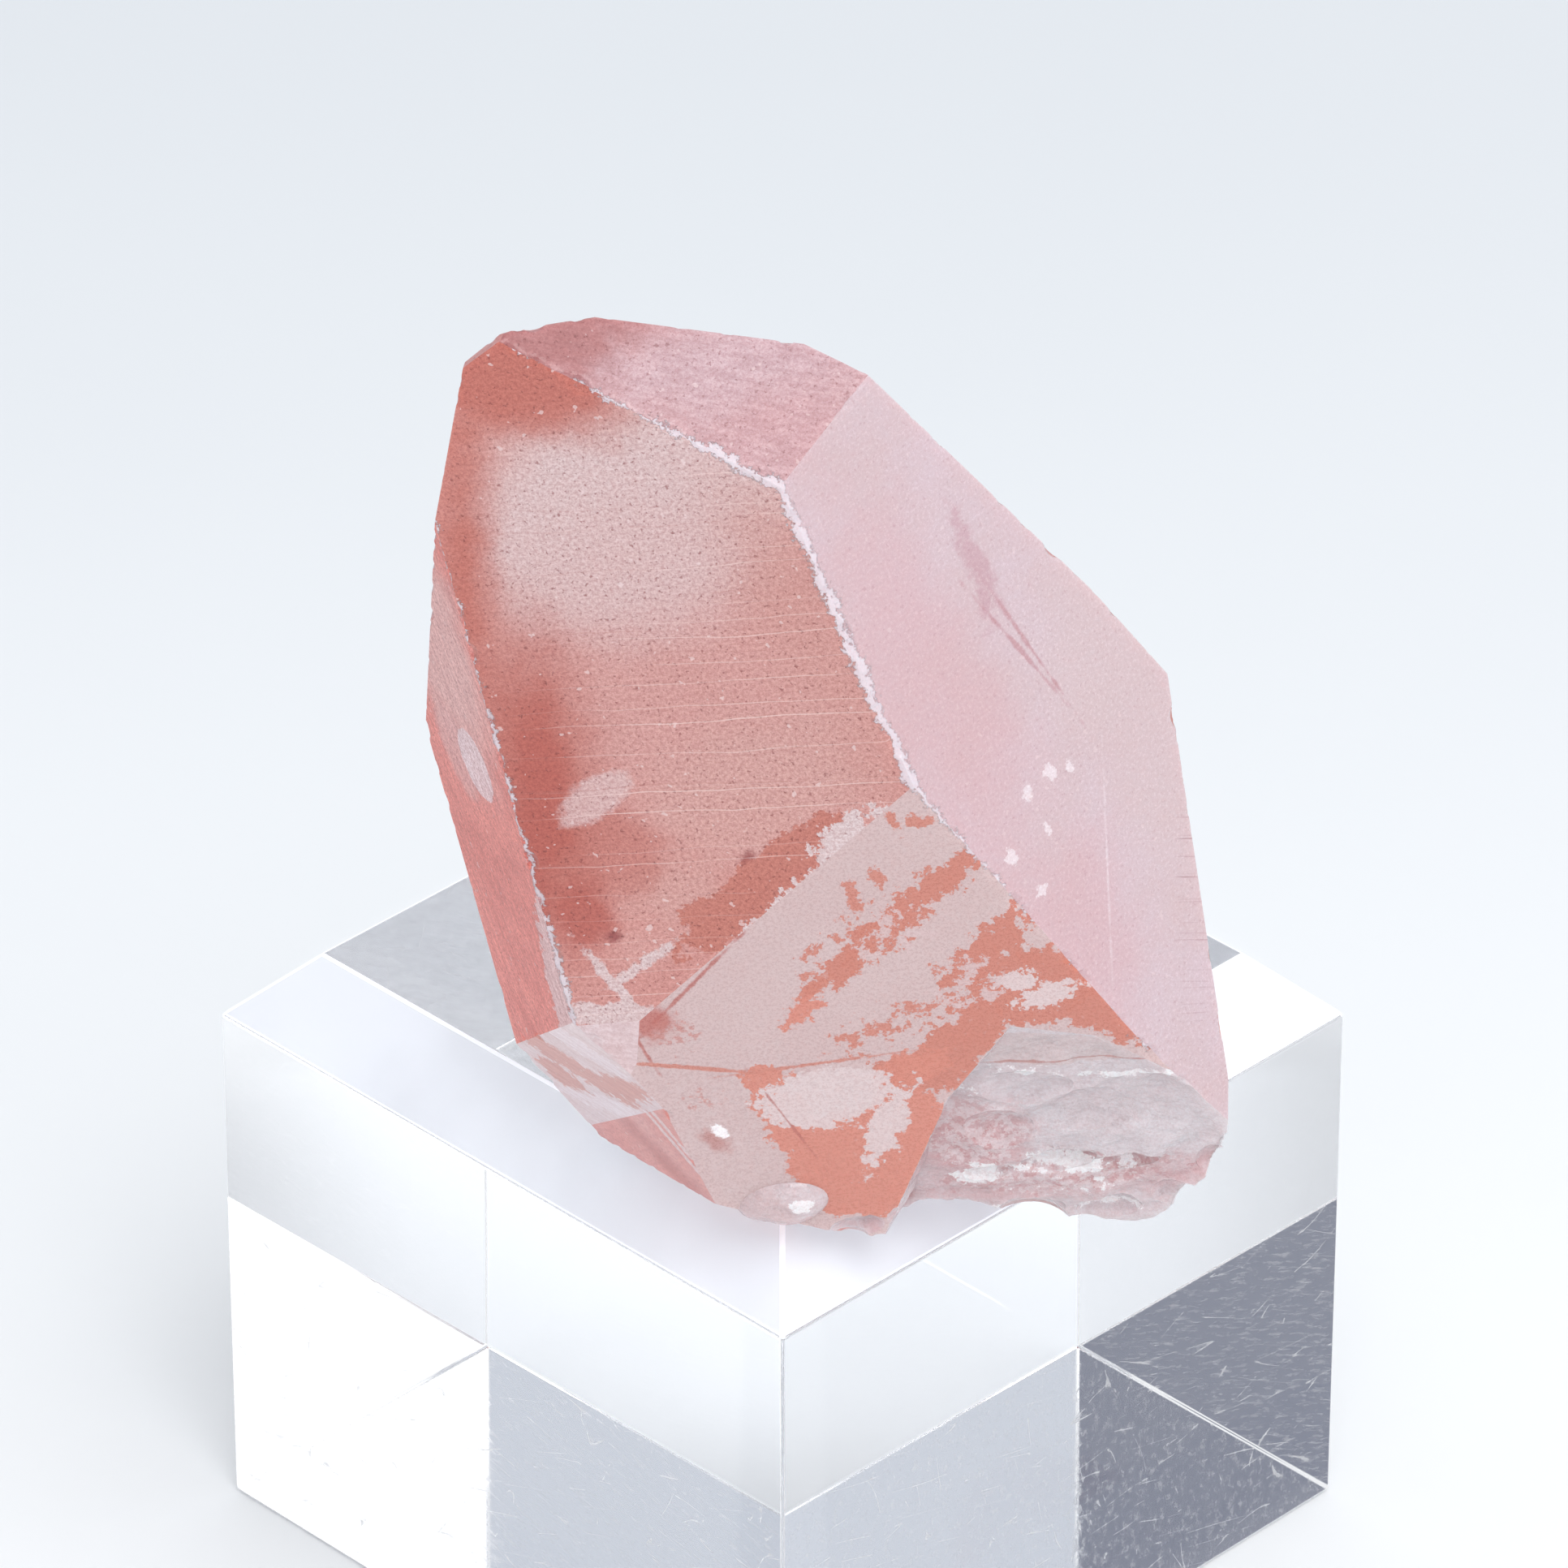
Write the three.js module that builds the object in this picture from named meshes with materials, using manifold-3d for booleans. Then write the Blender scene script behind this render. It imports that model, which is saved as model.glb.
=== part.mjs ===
// A natural quartz crystal that stands on a clear display block with bevelled top edges.
// Millimetres and degrees, +Z up. The origin is the centre of the block's underside, and the
// block's sides face along X and Y.
//
// The crystal is one solid. It is a six-sided quartz prism with a slanting point. Every flat face
// is given as in crystallography: the azimuth of its normal about the long axis, the polar angle
// of the normal from that axis, and the face's distance from the crystal's heart.

import * as THREE from 'three';
import { mergeVertices } from 'three/addons/utils/BufferGeometryUtils.js';
import Module from 'manifold-3d';

const wasm = await Module();
wasm.setup();

// ---------------------------------------------------------------- driving dimensions

const BLOCK_SIDE = 38;
const BLOCK_HEIGHT = 31.5;
const BLOCK_BEVEL = 3.5; // the top bevel, as wide as it is high

const RESTING_GAP = 0.3; // between the block's top and the crystal's base

const HEART = new THREE.Vector3(9.2, -7.1, 55.3); // a point inside the crystal, on its long axis
const LEAN = 13.5; // of the long axis, from upright
const LEAN_HEADING = -144; // where the axis leans to, counter-clockwise from +X
const TWIST = 86; // turn about the long axis that brings azimuth 0 to the front

const ROUGH_SIZE = 150; // side of the cube that the faces are cut from

// Flat faces around and from pole to pole of the rounded shapes
const SCALLOP_FACETS = [16, 10];
const MOUND_FACETS = [18, 12];
const HOLLOW_FACETS = [22, 14];

// ---------------------------------------------------------------- faces of the crystal

const face = (azimuth, polar, distance) => ({ azimuth, polar, distance });

const FRONT_PRISM = face(0, 90, 17.5);
const RIGHT_PRISM = face(60, 82.5, 17.2);
const LEFT_PRISM = face(-52, 89.5, 18);
const FAR_RIGHT_PRISM = face(118, 98, 13.5);
const FAR_LEFT_PRISM = face(-118, 90.5, 9.4);
const BACK_PRISM = face(180, 90, 15);

const TOP_FRONT = face(47, 47, 25.4);
const TOP_BACK = face(179.5, 52, 4.8);
const TOP_BACK_LEFT = face(-154, 59.7, 2.1);
const TOP_BACK_RIGHT = face(156, 60, 4.8);
const SHOULDER_LEFT = face(-90, 66.5, 15.7);
const SHOULDER_RIGHT_UPPER = face(150.5, 63, 4.9);
const SHOULDER_RIGHT_LOWER = face(140.5, 66, 7.3);

const LOWER_FRONT = face(9.5, 103, 17.6);
const LOWER_FRONT_FOOT = face(9, 106, 18);
const FRONT_FOOT = face(0, 100, 18.6);

const GROWN_FACES = [
  FRONT_PRISM, RIGHT_PRISM, LEFT_PRISM, FAR_RIGHT_PRISM, FAR_LEFT_PRISM, BACK_PRISM,
  TOP_FRONT, TOP_BACK, TOP_BACK_LEFT, TOP_BACK_RIGHT,
  SHOULDER_LEFT, SHOULDER_RIGHT_UPPER, SHOULDER_RIGHT_LOWER,
  LOWER_FRONT, LOWER_FRONT_FOOT, FRONT_FOOT,
];

// Flat breaks: the chipped tip, the broken lower right corner, and the underside of the left foot.
const BROKEN_FACES = [
  face(-63.5, 32.5, 29.1),
  face(106.5, 105, 18.4),
  face(109, 122, 22.4),
  face(115.5, 133, 23.6),
  face(-40, 144, 25.1),
];

// Dents: each takes away what lies beyond all of its faces at once, so they meet in a hollow.
const FRESH_SCOOP = [
  face(3, 110, 17.3), // back wall
  face(1, 121, 18.2), // slopes down from its upper edge
  face(2, 111.5, 17.4),
  face(79.5, 124, 15.5), // left walls
  face(62, 133.5, 19.1),
];
const LEFT_FOOT_DENT = [face(-36.5, 114, 21), face(-42.5, 104.5, 19.3)];
const BACK_GROWTH_STEP = [face(180, 90.5, 14.3), face(-128, 66, 3.5)];
const DENTS = [FRESH_SCOOP, LEFT_FOOT_DENT, BACK_GROWTH_STEP];

// Shell-shaped scallops. Each is given on its face: to the right and up from the foot of the heart's
// perpendicular, then its half widths that way, and its depth.
const scallop = (right, up, across, along, depth) => ({ right, up, across, along, depth });

const SCALLOPS = [
  {
    face: FRESH_SCOOP[0],
    shells: [
      scallop(6.1, -14.3, 1.8, 1.6, 0.45),
      scallop(8.2, -11.4, 2.5, 1.5, 0.35),
      scallop(10.2, -13.6, 3.2, 1.7, 0.4),
      scallop(14.0, -13.4, 2.3, 2.5, 0.35),
      scallop(4.8, -17.3, 1.4, 0.6, 0.35),
      scallop(8.2, -17.1, 2.1, 0.7, 0.5),
      scallop(11.2, -17.6, 1.9, 0.6, 0.45),
      // the chipped lower lip
      scallop(3.2, -20.2, 1.4, 0.9, 0.5),
      scallop(6.3, -20.5, 1.5, 0.8, 0.45),
      scallop(9.6, -20.9, 1.8, 0.9, 0.55),
      scallop(12.9, -20.3, 1.3, 1.0, 0.5),
      scallop(15.3, -18.5, 1.0, 1.3, 0.4),
    ],
  },
  {
    face: LOWER_FRONT_FOOT,
    shells: [
      scallop(-2.6, -18.9, 1.5, 0.8, 0.4),
      scallop(-0.2, -18.8, 1.1, 0.9, 0.4),
    ],
  },
];

// A low rounded mound of clear quartz at the foot of the lower front face, in the crystal's own axes.
const FOOT_MOUND = { place: [12.9, -3.6, -20.7], radii: [1.5, 2.3, 1.5] };

// Edges that are worn and chipped, and how deep the wear cuts below the sharp edge.
const WORN_EDGES = [
  { between: [TOP_FRONT, FRONT_PRISM], depth: 0.16 },
  { between: [FRONT_PRISM, RIGHT_PRISM], depth: 0.24 },
  { between: [RIGHT_PRISM, LOWER_FRONT], depth: 0.2 },
  { between: [FRONT_PRISM, LEFT_PRISM], depth: 0.14 },
];

// Shell-shaped hollows where the crystal broke off its matrix. Places are from the heart, in the
// standing crystal's axes.
const BASE_HOLLOWS = [
  { place: [-13.5, 11, -27], radii: [10, 6, 6.5], turn: 45 }, // back
  { place: [14.5, 14, -27.5], radii: [9, 7, 7], turn: -20 }, // far right
  { place: [-8.5, -9.5, -27], radii: [6, 8, 5.5], turn: 30 }, // left
  { place: [12.6, -11.6, -24.3], radii: [1.6, 1.1, 1.7], turn: 45 }, // notch under the scoop
];

// ---------------------------------------------------------------- solids

function solidOf(geometry) {
  const bare = geometry.clone();
  bare.deleteAttribute('normal');
  bare.deleteAttribute('uv');
  const merged = mergeVertices(bare, 1e-4);
  const mesh = new wasm.Mesh({
    numProp: 3,
    vertProperties: merged.attributes.position.array,
    triVerts: new Uint32Array(merged.index.array),
  });
  return new wasm.Manifold(mesh);
}

function geometryOf(solid) {
  const { vertProperties, triVerts } = solid.getMesh();
  const geometry = new THREE.BufferGeometry();
  geometry.setAttribute('position', new THREE.BufferAttribute(vertProperties, 3));
  geometry.setIndex(new THREE.BufferAttribute(triVerts, 1));
  return geometry;
}

// The plane of a face: its unit normal in the crystal's own axes, and its distance.
function planeOf({ azimuth, polar, distance }) {
  const around = THREE.MathUtils.degToRad(azimuth);
  const down = THREE.MathUtils.degToRad(polar);
  const normal = new THREE.Vector3(
    Math.sin(down) * Math.cos(around),
    Math.sin(down) * Math.sin(around),
    Math.cos(down),
  );
  return { normal, distance };
}

// The plane that takes a worn edge off, square to the bisector of the two faces beside it.
function wearPlane({ between, depth }) {
  const [a, b] = between.map(planeOf);
  const sum = a.normal.clone().add(b.normal);
  const distance = (a.distance + b.distance) / sum.length() - depth;
  return { normal: sum.normalize(), distance };
}

const reversed = ({ normal, distance }) => ({ normal: normal.clone().negate(), distance: -distance });

// Everything beyond a plane, as a cube that can be cut away.
function beyond({ normal, distance }) {
  const cube = new THREE.BoxGeometry(2 * ROUGH_SIZE, 2 * ROUGH_SIZE, 2 * ROUGH_SIZE);
  const up = new THREE.Vector3(0, 0, 1);
  cube.translate(0, 0, ROUGH_SIZE + distance);
  cube.applyQuaternion(new THREE.Quaternion().setFromUnitVectors(up, normal));
  return solidOf(cube);
}

// A rough cube with everything beyond each plane cut off.
function cutFromRough(planes) {
  const rough = solidOf(new THREE.BoxGeometry(ROUGH_SIZE, ROUGH_SIZE, ROUGH_SIZE));
  return planes.reduce((rest, plane) => rest.subtract(beyond(plane)), rough);
}

// ---------------------------------------------------------------- crystal

function turnAbout(x, y, z, degrees) {
  const axis = new THREE.Vector3(x, y, z);
  return new THREE.Quaternion().setFromAxisAngle(axis, THREE.MathUtils.degToRad(degrees));
}

// The turn from the crystal's own axes to the standing crystal.
function standingTurn() {
  const twist = turnAbout(0, 0, 1, TWIST);
  const lean = turnAbout(0, 1, 0, LEAN);
  const heading = turnAbout(0, 0, 1, LEAN_HEADING);
  return heading.multiply(lean).multiply(twist);
}

function ellipsoid(radii, facets) {
  return new THREE.SphereGeometry(1, ...facets).scale(...radii);
}

function footMound() {
  const { place, radii } = FOOT_MOUND;
  return solidOf(ellipsoid(radii, MOUND_FACETS).translate(...place));
}

// The axes of a face: to the right across it, up along it, and out of it.
function axesOf(plane) {
  const out = plane.normal;
  const up = new THREE.Vector3(0, 0, 1).projectOnPlane(out).normalize();
  return new THREE.Matrix4().makeBasis(up.clone().cross(out), up, out);
}

// The hollow ellipsoid of a scallop. It is twice as deep as the scallop, with its centre outside.
function shell(plane, { right, up, across, along, depth }) {
  const hollow = ellipsoid([across, along, 2 * depth], SCALLOP_FACETS);
  hollow.translate(right, up, plane.distance + depth);
  return solidOf(hollow.applyMatrix4(axesOf(plane)));
}

const shellsOn = ({ face: base, shells }) => shells.map((one) => shell(planeOf(base), one));

const dent = (faces) => cutFromRough(faces.map(planeOf).map(reversed));

const takeAway = (solid, hollows) => hollows.reduce((rest, hollow) => rest.subtract(hollow), solid);

// The crystal in its own axes, before it is stood up: flat faces, worn edges, dents, the mound and
// the scallops.
function grownCrystal() {
  const planes = [...GROWN_FACES, ...BROKEN_FACES].map(planeOf).concat(WORN_EDGES.map(wearPlane));
  const dented = takeAway(cutFromRough(planes), DENTS.map(dent));
  return takeAway(dented.add(footMound()), SCALLOPS.flatMap(shellsOn));
}

function baseHollow({ place, radii, turn }) {
  const hollow = ellipsoid(radii, HOLLOW_FACETS);
  hollow.applyQuaternion(turnAbout(0, 0, 1, turn));
  hollow.translate(...place);
  return solidOf(hollow);
}

// The crystal stood up on its broken base, which is flat where it rests and hollow around that.
function standingCrystal() {
  const grown = solidOf(geometryOf(grownCrystal()).applyQuaternion(standingTurn()));
  const base = {
    normal: new THREE.Vector3(0, 0, -1),
    distance: HEART.z - BLOCK_HEIGHT - RESTING_GAP,
  };
  const rested = grown.subtract(beyond(base));
  return takeAway(rested, BASE_HOLLOWS.map(baseHollow));
}

function crystal() {
  const quartz = new THREE.MeshStandardMaterial({ color: 0xcf8f89, roughness: 0.35, metalness: 0 });
  const mesh = new THREE.Mesh(geometryOf(standingCrystal()), quartz);
  mesh.name = 'crystal';
  mesh.position.copy(HEART);
  return mesh;
}

// ---------------------------------------------------------------- display block

// A four-sided turning of the block's half section gives a square block with bevelled top edges.
function displayBlock() {
  const corner = BLOCK_SIDE / Math.SQRT2;
  const topCorner = corner - BLOCK_BEVEL * Math.SQRT2;
  const section = [
    new THREE.Vector2(0, 0),
    new THREE.Vector2(corner, 0),
    new THREE.Vector2(corner, BLOCK_HEIGHT - BLOCK_BEVEL),
    new THREE.Vector2(topCorner, BLOCK_HEIGHT),
    new THREE.Vector2(0, BLOCK_HEIGHT),
  ];
  const acrylic = new THREE.MeshStandardMaterial({ color: 0xeef3fa, roughness: 0.04, metalness: 0 });
  const mesh = new THREE.Mesh(new THREE.LatheGeometry(section, 4, Math.PI / 4), acrylic);
  mesh.name = 'display_block';
  mesh.rotation.x = Math.PI / 2;
  return mesh;
}

const part = new THREE.Group();
part.add(crystal());
part.add(displayBlock());

export default part;
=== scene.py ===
"""Finished looks of a quartz crystal on a clear display block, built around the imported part.

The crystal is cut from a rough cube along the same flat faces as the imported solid, then refined, chipped
along its edges and rippled where it broke. Each kind of face has its own procedural finish, laid out in
millimetres on the face. The display block is a bevelled block of clear acrylic with a scuffed underside.
"""
import logging
import math
from collections.abc import Iterable, Sequence
from dataclasses import dataclass
from enum import Enum

import bmesh
import bpy
import numpy as np
from mathutils import Euler, Matrix, Vector, kdtree, noise


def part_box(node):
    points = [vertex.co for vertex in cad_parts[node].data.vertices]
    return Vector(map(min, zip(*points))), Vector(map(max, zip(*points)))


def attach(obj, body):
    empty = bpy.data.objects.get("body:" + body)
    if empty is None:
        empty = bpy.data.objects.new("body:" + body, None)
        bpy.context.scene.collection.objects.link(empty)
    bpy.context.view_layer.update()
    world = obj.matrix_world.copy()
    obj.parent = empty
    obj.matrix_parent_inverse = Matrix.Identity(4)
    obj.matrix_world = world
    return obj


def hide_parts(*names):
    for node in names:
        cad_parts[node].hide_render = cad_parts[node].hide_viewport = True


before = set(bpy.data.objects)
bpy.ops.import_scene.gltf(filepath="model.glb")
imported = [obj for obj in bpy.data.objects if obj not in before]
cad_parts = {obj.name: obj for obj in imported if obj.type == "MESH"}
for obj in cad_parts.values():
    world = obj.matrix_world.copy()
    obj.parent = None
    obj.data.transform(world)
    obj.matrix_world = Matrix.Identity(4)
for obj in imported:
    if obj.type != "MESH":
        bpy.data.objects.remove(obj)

LOG = logging.getLogger("quartz")
MM = 0.001
TOUCHING = 0.001 * MM  # closer points are one point
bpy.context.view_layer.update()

Colour = tuple[float, float, float]
Socket = bpy.types.NodeSocket


# ------------------------------------------------------------------ the crystal's place and faces

# The heart is a point inside the crystal, and all its flat faces are placed from there. The crystal leans
# from upright towards a heading, and is twisted about its long axis. Angles are in degrees.
HEART = Vector((9.2, -7.1, 55.3)) * MM
LEAN = 13.5
LEAN_HEADING = -144.0
TWIST = 86.0
ROUGH_SIZE = 150 * MM
RESTING_GAP = 0.3 * MM

TURN = (
    Matrix.Rotation(math.radians(LEAN_HEADING), 3, "Z")
    @ Matrix.Rotation(math.radians(LEAN), 3, "Y")
    @ Matrix.Rotation(math.radians(TWIST), 3, "Z")
)


class Surface(Enum):
    """The kinds of surface on the crystal. Each is one material slot, in this order."""

    FRONT = "front prism face"
    RIGHT = "right prism face"
    LEFT = "left prism face"
    TOP = "top front face"
    CAP = "back and shoulder faces"
    PRISM = "far prism faces"
    LOWER = "lower front face"
    FOOT = "frosty foot facets"
    RED_FOOT = "red foot facet"
    BREAK = "fresh glassy break"
    BASE = "broken base"

    @property
    def index(self) -> int:
        """The material slot of this kind of surface."""
        return list(Surface).index(self)


@dataclass(frozen=True)
class Facet:
    """One flat face of the crystal.

    Args:
        surface: its kind.
        azimuth: its normal's direction about the long axis, in degrees.
        polar: its normal's angle from the long axis, in degrees.
        distance: its distance from the heart, in millimetres.
    """

    surface: Surface
    azimuth: float
    polar: float
    distance: float

    @property
    def normal(self) -> Vector:
        """The outward unit normal.

        Returns:
            The normal in the part's frame.
        """
        around, down = math.radians(self.azimuth), math.radians(self.polar)
        own = Vector((math.sin(down) * math.cos(around), math.sin(down) * math.sin(around), math.cos(down)))
        return TURN @ own

    @property
    def centre(self) -> Vector:
        """The foot of the perpendicular from the heart, in metres."""
        return HEART + self.normal * (self.distance * MM)

    @property
    def axes(self) -> Matrix:
        """The face's own axes.

        Returns:
            Columns that point to the right across the face, up along it, and out of it.
        """
        out = self.normal
        long_axis = TURN.col[2]
        up = (long_axis - out * long_axis.dot(out)).normalized()
        return Matrix((up.cross(out), up, out)).transposed()


FRONT_PRISM = Facet(Surface.FRONT, 0, 90, 17.5)
RIGHT_PRISM = Facet(Surface.RIGHT, 60, 82.5, 17.2)
LEFT_PRISM = Facet(Surface.LEFT, -52, 89.5, 18)
TOP_FRONT = Facet(Surface.TOP, 47, 47, 25.4)
LOWER_FRONT = Facet(Surface.LOWER, 9.5, 103, 17.6)
FRONT_FOOT = Facet(Surface.FOOT, 0, 100, 18.6)
LOWER_FRONT_FOOT = Facet(Surface.LOWER, 9, 106, 18)
SCOOP_WALL = Facet(Surface.BREAK, 3, 110, 17.3)
FOOT_SLOPE = Facet(Surface.FOOT, -36.5, 114, 21)
FOOT_TRIANGLE = Facet(Surface.RED_FOOT, -42.5, 104.5, 19.3)
BACK_PRISM = Facet(Surface.PRISM, 180, 90, 15)
TOP_BACK = Facet(Surface.CAP, 179.5, 52, 4.8)

GROWN_FACES = (
    FRONT_PRISM,
    RIGHT_PRISM,
    LEFT_PRISM,
    Facet(Surface.PRISM, 118, 98, 13.5),
    Facet(Surface.PRISM, -118, 90.5, 9.4),
    BACK_PRISM,
    TOP_FRONT,
    TOP_BACK,
    Facet(Surface.CAP, -154, 59.7, 2.1),
    Facet(Surface.CAP, 156, 60, 4.8),
    Facet(Surface.CAP, -90, 66.5, 15.7),
    Facet(Surface.CAP, 150.5, 63, 4.9),
    Facet(Surface.CAP, 140.5, 66, 7.3),
    LOWER_FRONT,
    LOWER_FRONT_FOOT,
    FRONT_FOOT,
)
BROKEN_FACES = (
    Facet(Surface.CAP, -63.5, 32.5, 29.1),
    Facet(Surface.BREAK, 106.5, 105, 18.4),
    Facet(Surface.BREAK, 109, 122, 22.4),
    Facet(Surface.BREAK, 115.5, 133, 23.6),
    Facet(Surface.RED_FOOT, -40, 144, 25.1),
)
DENTS = (
    (
        SCOOP_WALL,
        Facet(Surface.BREAK, 1, 121, 18.2),
        Facet(Surface.BREAK, 2, 111.5, 17.4),
        Facet(Surface.BREAK, 79.5, 124, 15.5),
        Facet(Surface.BREAK, 62, 133.5, 19.1),
    ),
    (FOOT_SLOPE, FOOT_TRIANGLE),
    (Facet(Surface.CAP, 180, 90.5, 14.3), Facet(Surface.CAP, -128, 66, 3.5)),
)


@dataclass(frozen=True)
class Scallop:
    """A shell-shaped hollow on a face, in millimetres.

    Args:
        facet: the face.
        right: its place to the right of the face's centre.
        up: its place above the face's centre.
        across: half its width.
        along: half its height.
        depth: how deep it is.
    """

    facet: Facet
    right: float
    up: float
    across: float
    along: float
    depth: float

    @property
    def place(self) -> Matrix:
        """Where the ellipsoid lies that is taken away. Its centre is outside the face.

        Returns:
            The matrix that makes it from a sphere of radius 1 mm.
        """
        axes = self.facet.axes
        centre = self.facet.centre + axes @ Vector((self.right, self.up, self.depth)) * MM
        size = Matrix.Diagonal((self.across, self.along, 2 * self.depth, 1.0))
        return Matrix.Translation(centre) @ axes.to_4x4() @ size


SCALLOPS = (
    Scallop(SCOOP_WALL, 6.1, -14.3, 1.8, 1.6, 0.45),
    Scallop(SCOOP_WALL, 8.2, -11.4, 2.5, 1.5, 0.35),
    Scallop(SCOOP_WALL, 10.2, -13.6, 3.2, 1.7, 0.4),
    Scallop(SCOOP_WALL, 14.0, -13.4, 2.3, 2.5, 0.35),
    Scallop(SCOOP_WALL, 4.8, -17.3, 1.4, 0.6, 0.35),
    Scallop(SCOOP_WALL, 8.2, -17.1, 2.1, 0.7, 0.5),
    Scallop(SCOOP_WALL, 11.2, -17.6, 1.9, 0.6, 0.45),
    Scallop(SCOOP_WALL, 3.2, -20.2, 1.4, 0.9, 0.5),
    Scallop(SCOOP_WALL, 6.3, -20.5, 1.5, 0.8, 0.45),
    Scallop(SCOOP_WALL, 9.6, -20.9, 1.8, 0.9, 0.55),
    Scallop(SCOOP_WALL, 12.9, -20.3, 1.3, 1.0, 0.5),
    Scallop(SCOOP_WALL, 15.3, -18.5, 1.0, 1.3, 0.4),
    Scallop(LOWER_FRONT_FOOT, -2.6, -18.9, 1.5, 0.8, 0.4),
    Scallop(LOWER_FRONT_FOOT, -0.2, -18.8, 1.1, 0.9, 0.4),
)


@dataclass(frozen=True)
class BaseHollow:
    """A shell-shaped hollow in the base.

    Args:
        place: its centre from the heart, in millimetres.
        radii: its radii along its own axes, in millimetres.
        turn: how far it is turned about the upright, in degrees.
    """

    place: tuple[float, float, float]
    radii: tuple[float, float, float]
    turn: float


BASE_HOLLOWS = (
    BaseHollow((-13.5, 11, -27), (10, 6, 6.5), 45),
    BaseHollow((14.5, 14, -27.5), (9, 7, 7), -20),
    BaseHollow((-8.5, -9.5, -27), (6, 8, 5.5), 30),
    BaseHollow((12.6, -11.6, -24.3), (1.6, 1.1, 1.7), 45),
)


# ------------------------------------------------------------------ chips and ripples


@dataclass(frozen=True)
class Wear:
    """How a kind of edge is chipped, in millimetres.

    Args:
        spacing: mean distance between chips along the edge.
        radius: smallest and largest radius of a chip.
        depth: smallest and largest depth below the sharp edge.
        frost: half-widths of the white bruised band at the edge's upper and lower ends.
    """

    spacing: float
    radius: tuple[float, float]
    depth: tuple[float, float]
    frost: tuple[float, float] | None = None


PLAIN_WEAR = Wear(0.9, (0.35, 0.9), (0.01, 0.06))
EDGE_WEAR = {
    frozenset((Surface.TOP, Surface.FRONT)): Wear(0.42, (0.5, 1.3), (0.03, 0.14), (-0.2, 0.36)),
    frozenset((Surface.FRONT, Surface.RIGHT)): Wear(0.36, (0.5, 1.4), (0.05, 0.2), (0.27, 0.26)),
    frozenset((Surface.RIGHT, Surface.LOWER)): Wear(0.4, (0.5, 1.2), (0.04, 0.16), (0.14, -0.35)),
    frozenset((Surface.FRONT, Surface.LEFT)): Wear(0.45, (0.4, 1.1), (0.02, 0.12), (-0.1, 0.16)),
    frozenset((Surface.BREAK, Surface.BASE)): Wear(0.7, (0.8, 2.2), (0.1, 0.5)),
    frozenset((Surface.LOWER, Surface.BASE)): Wear(0.7, (0.6, 1.6), (0.05, 0.25)),
    frozenset((Surface.LOWER, Surface.BREAK)): Wear(0.8, (0.3, 0.8), (0.01, 0.05)),
}


@dataclass(frozen=True)
class Edge:
    """A sharp convex edge of the coarse crystal, in millimetres from the part's origin."""

    start: np.ndarray
    end: np.ndarray
    outward: np.ndarray
    surfaces: frozenset[Surface]

    @property
    def wear(self) -> Wear:
        """The wear rule for the two surfaces that meet here."""
        return EDGE_WEAR.get(self.surfaces, PLAIN_WEAR)

    def share(self, points: np.ndarray) -> np.ndarray:
        """How far along the edge each point lies, from 0 at its upper end to 1 at its lower end."""
        along = self.end - self.start
        return np.clip((points - self.start) @ along / (along @ along), 0.0, 1.0)

    def distance(self, points: np.ndarray) -> np.ndarray:
        """Distance from each point to this edge.

        Args:
            points: an N by 3 array in millimetres.

        Returns:
            N distances in millimetres.
        """
        nearest = self.start + self.share(points)[:, None] * (self.end - self.start)
        return np.linalg.norm(points - nearest, axis=1)

    def frost(self, points: np.ndarray) -> np.ndarray:
        """How deep inside the bruised band each point lies, in millimetres. It is negative outside."""
        upper, lower = self.wear.frost
        return upper + (lower - upper) * self.share(points) - self.distance(points)


# ------------------------------------------------------------------ mesh helpers


def new_object(name: str, mesh: bpy.types.Mesh) -> bpy.types.Object:
    """Links a new object that shows a mesh.

    Args:
        name: name of the object.
        mesh: its mesh, in metres in the part's frame.

    Returns:
        The object, at the origin.
    """
    made = bpy.data.objects.new(name, mesh)
    bpy.context.scene.collection.objects.link(made)
    return made


def mesh_from(bm: bmesh.types.BMesh, name: str) -> bpy.types.Mesh:
    """Writes a bmesh to a new mesh and frees it.

    Args:
        bm: the bmesh.
        name: name of the mesh.

    Returns:
        The mesh.
    """
    mesh = bpy.data.meshes.new(name)
    bm.to_mesh(mesh)
    bm.free()
    return mesh


def cut_off(bm: bmesh.types.BMesh, point: Vector, outward: Vector, slot: int) -> None:
    """Cuts away what lies beyond a plane and closes the cut with one face.

    Args:
        bm: the closed solid.
        point: a point on the plane.
        outward: the side that is cut away.
        slot: the material slot of the new face.
    """
    everything = bm.verts[:] + bm.edges[:] + bm.faces[:]
    cut = bmesh.ops.bisect_plane(bm, geom=everything, plane_co=point, plane_no=outward, clear_outer=True)
    rim = [item for item in cut["geom_cut"] if isinstance(item, bmesh.types.BMEdge)]
    closed = bmesh.ops.holes_fill(bm, edges=rim, sides=0)
    for face in closed["faces"]:
        face.material_index = slot


def combine(body: bpy.types.Object, tool: bpy.types.Object, operation: str) -> None:
    """Joins a tool to a body or takes it away, and removes the tool.

    Args:
        body: the object that keeps the result.
        tool: a closed solid.
        operation: "UNION" or "DIFFERENCE".
    """
    modifier = body.modifiers.new("combine", "BOOLEAN")
    modifier.operation = operation
    modifier.solver = "EXACT"
    modifier.object = tool
    depsgraph = bpy.context.evaluated_depsgraph_get()
    result = bpy.data.meshes.new_from_object(body.evaluated_get(depsgraph))
    body.modifiers.clear()
    used = body.data
    body.data = result
    bpy.data.meshes.remove(used)
    used = tool.data
    bpy.data.objects.remove(tool)
    bpy.data.meshes.remove(used)


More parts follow.
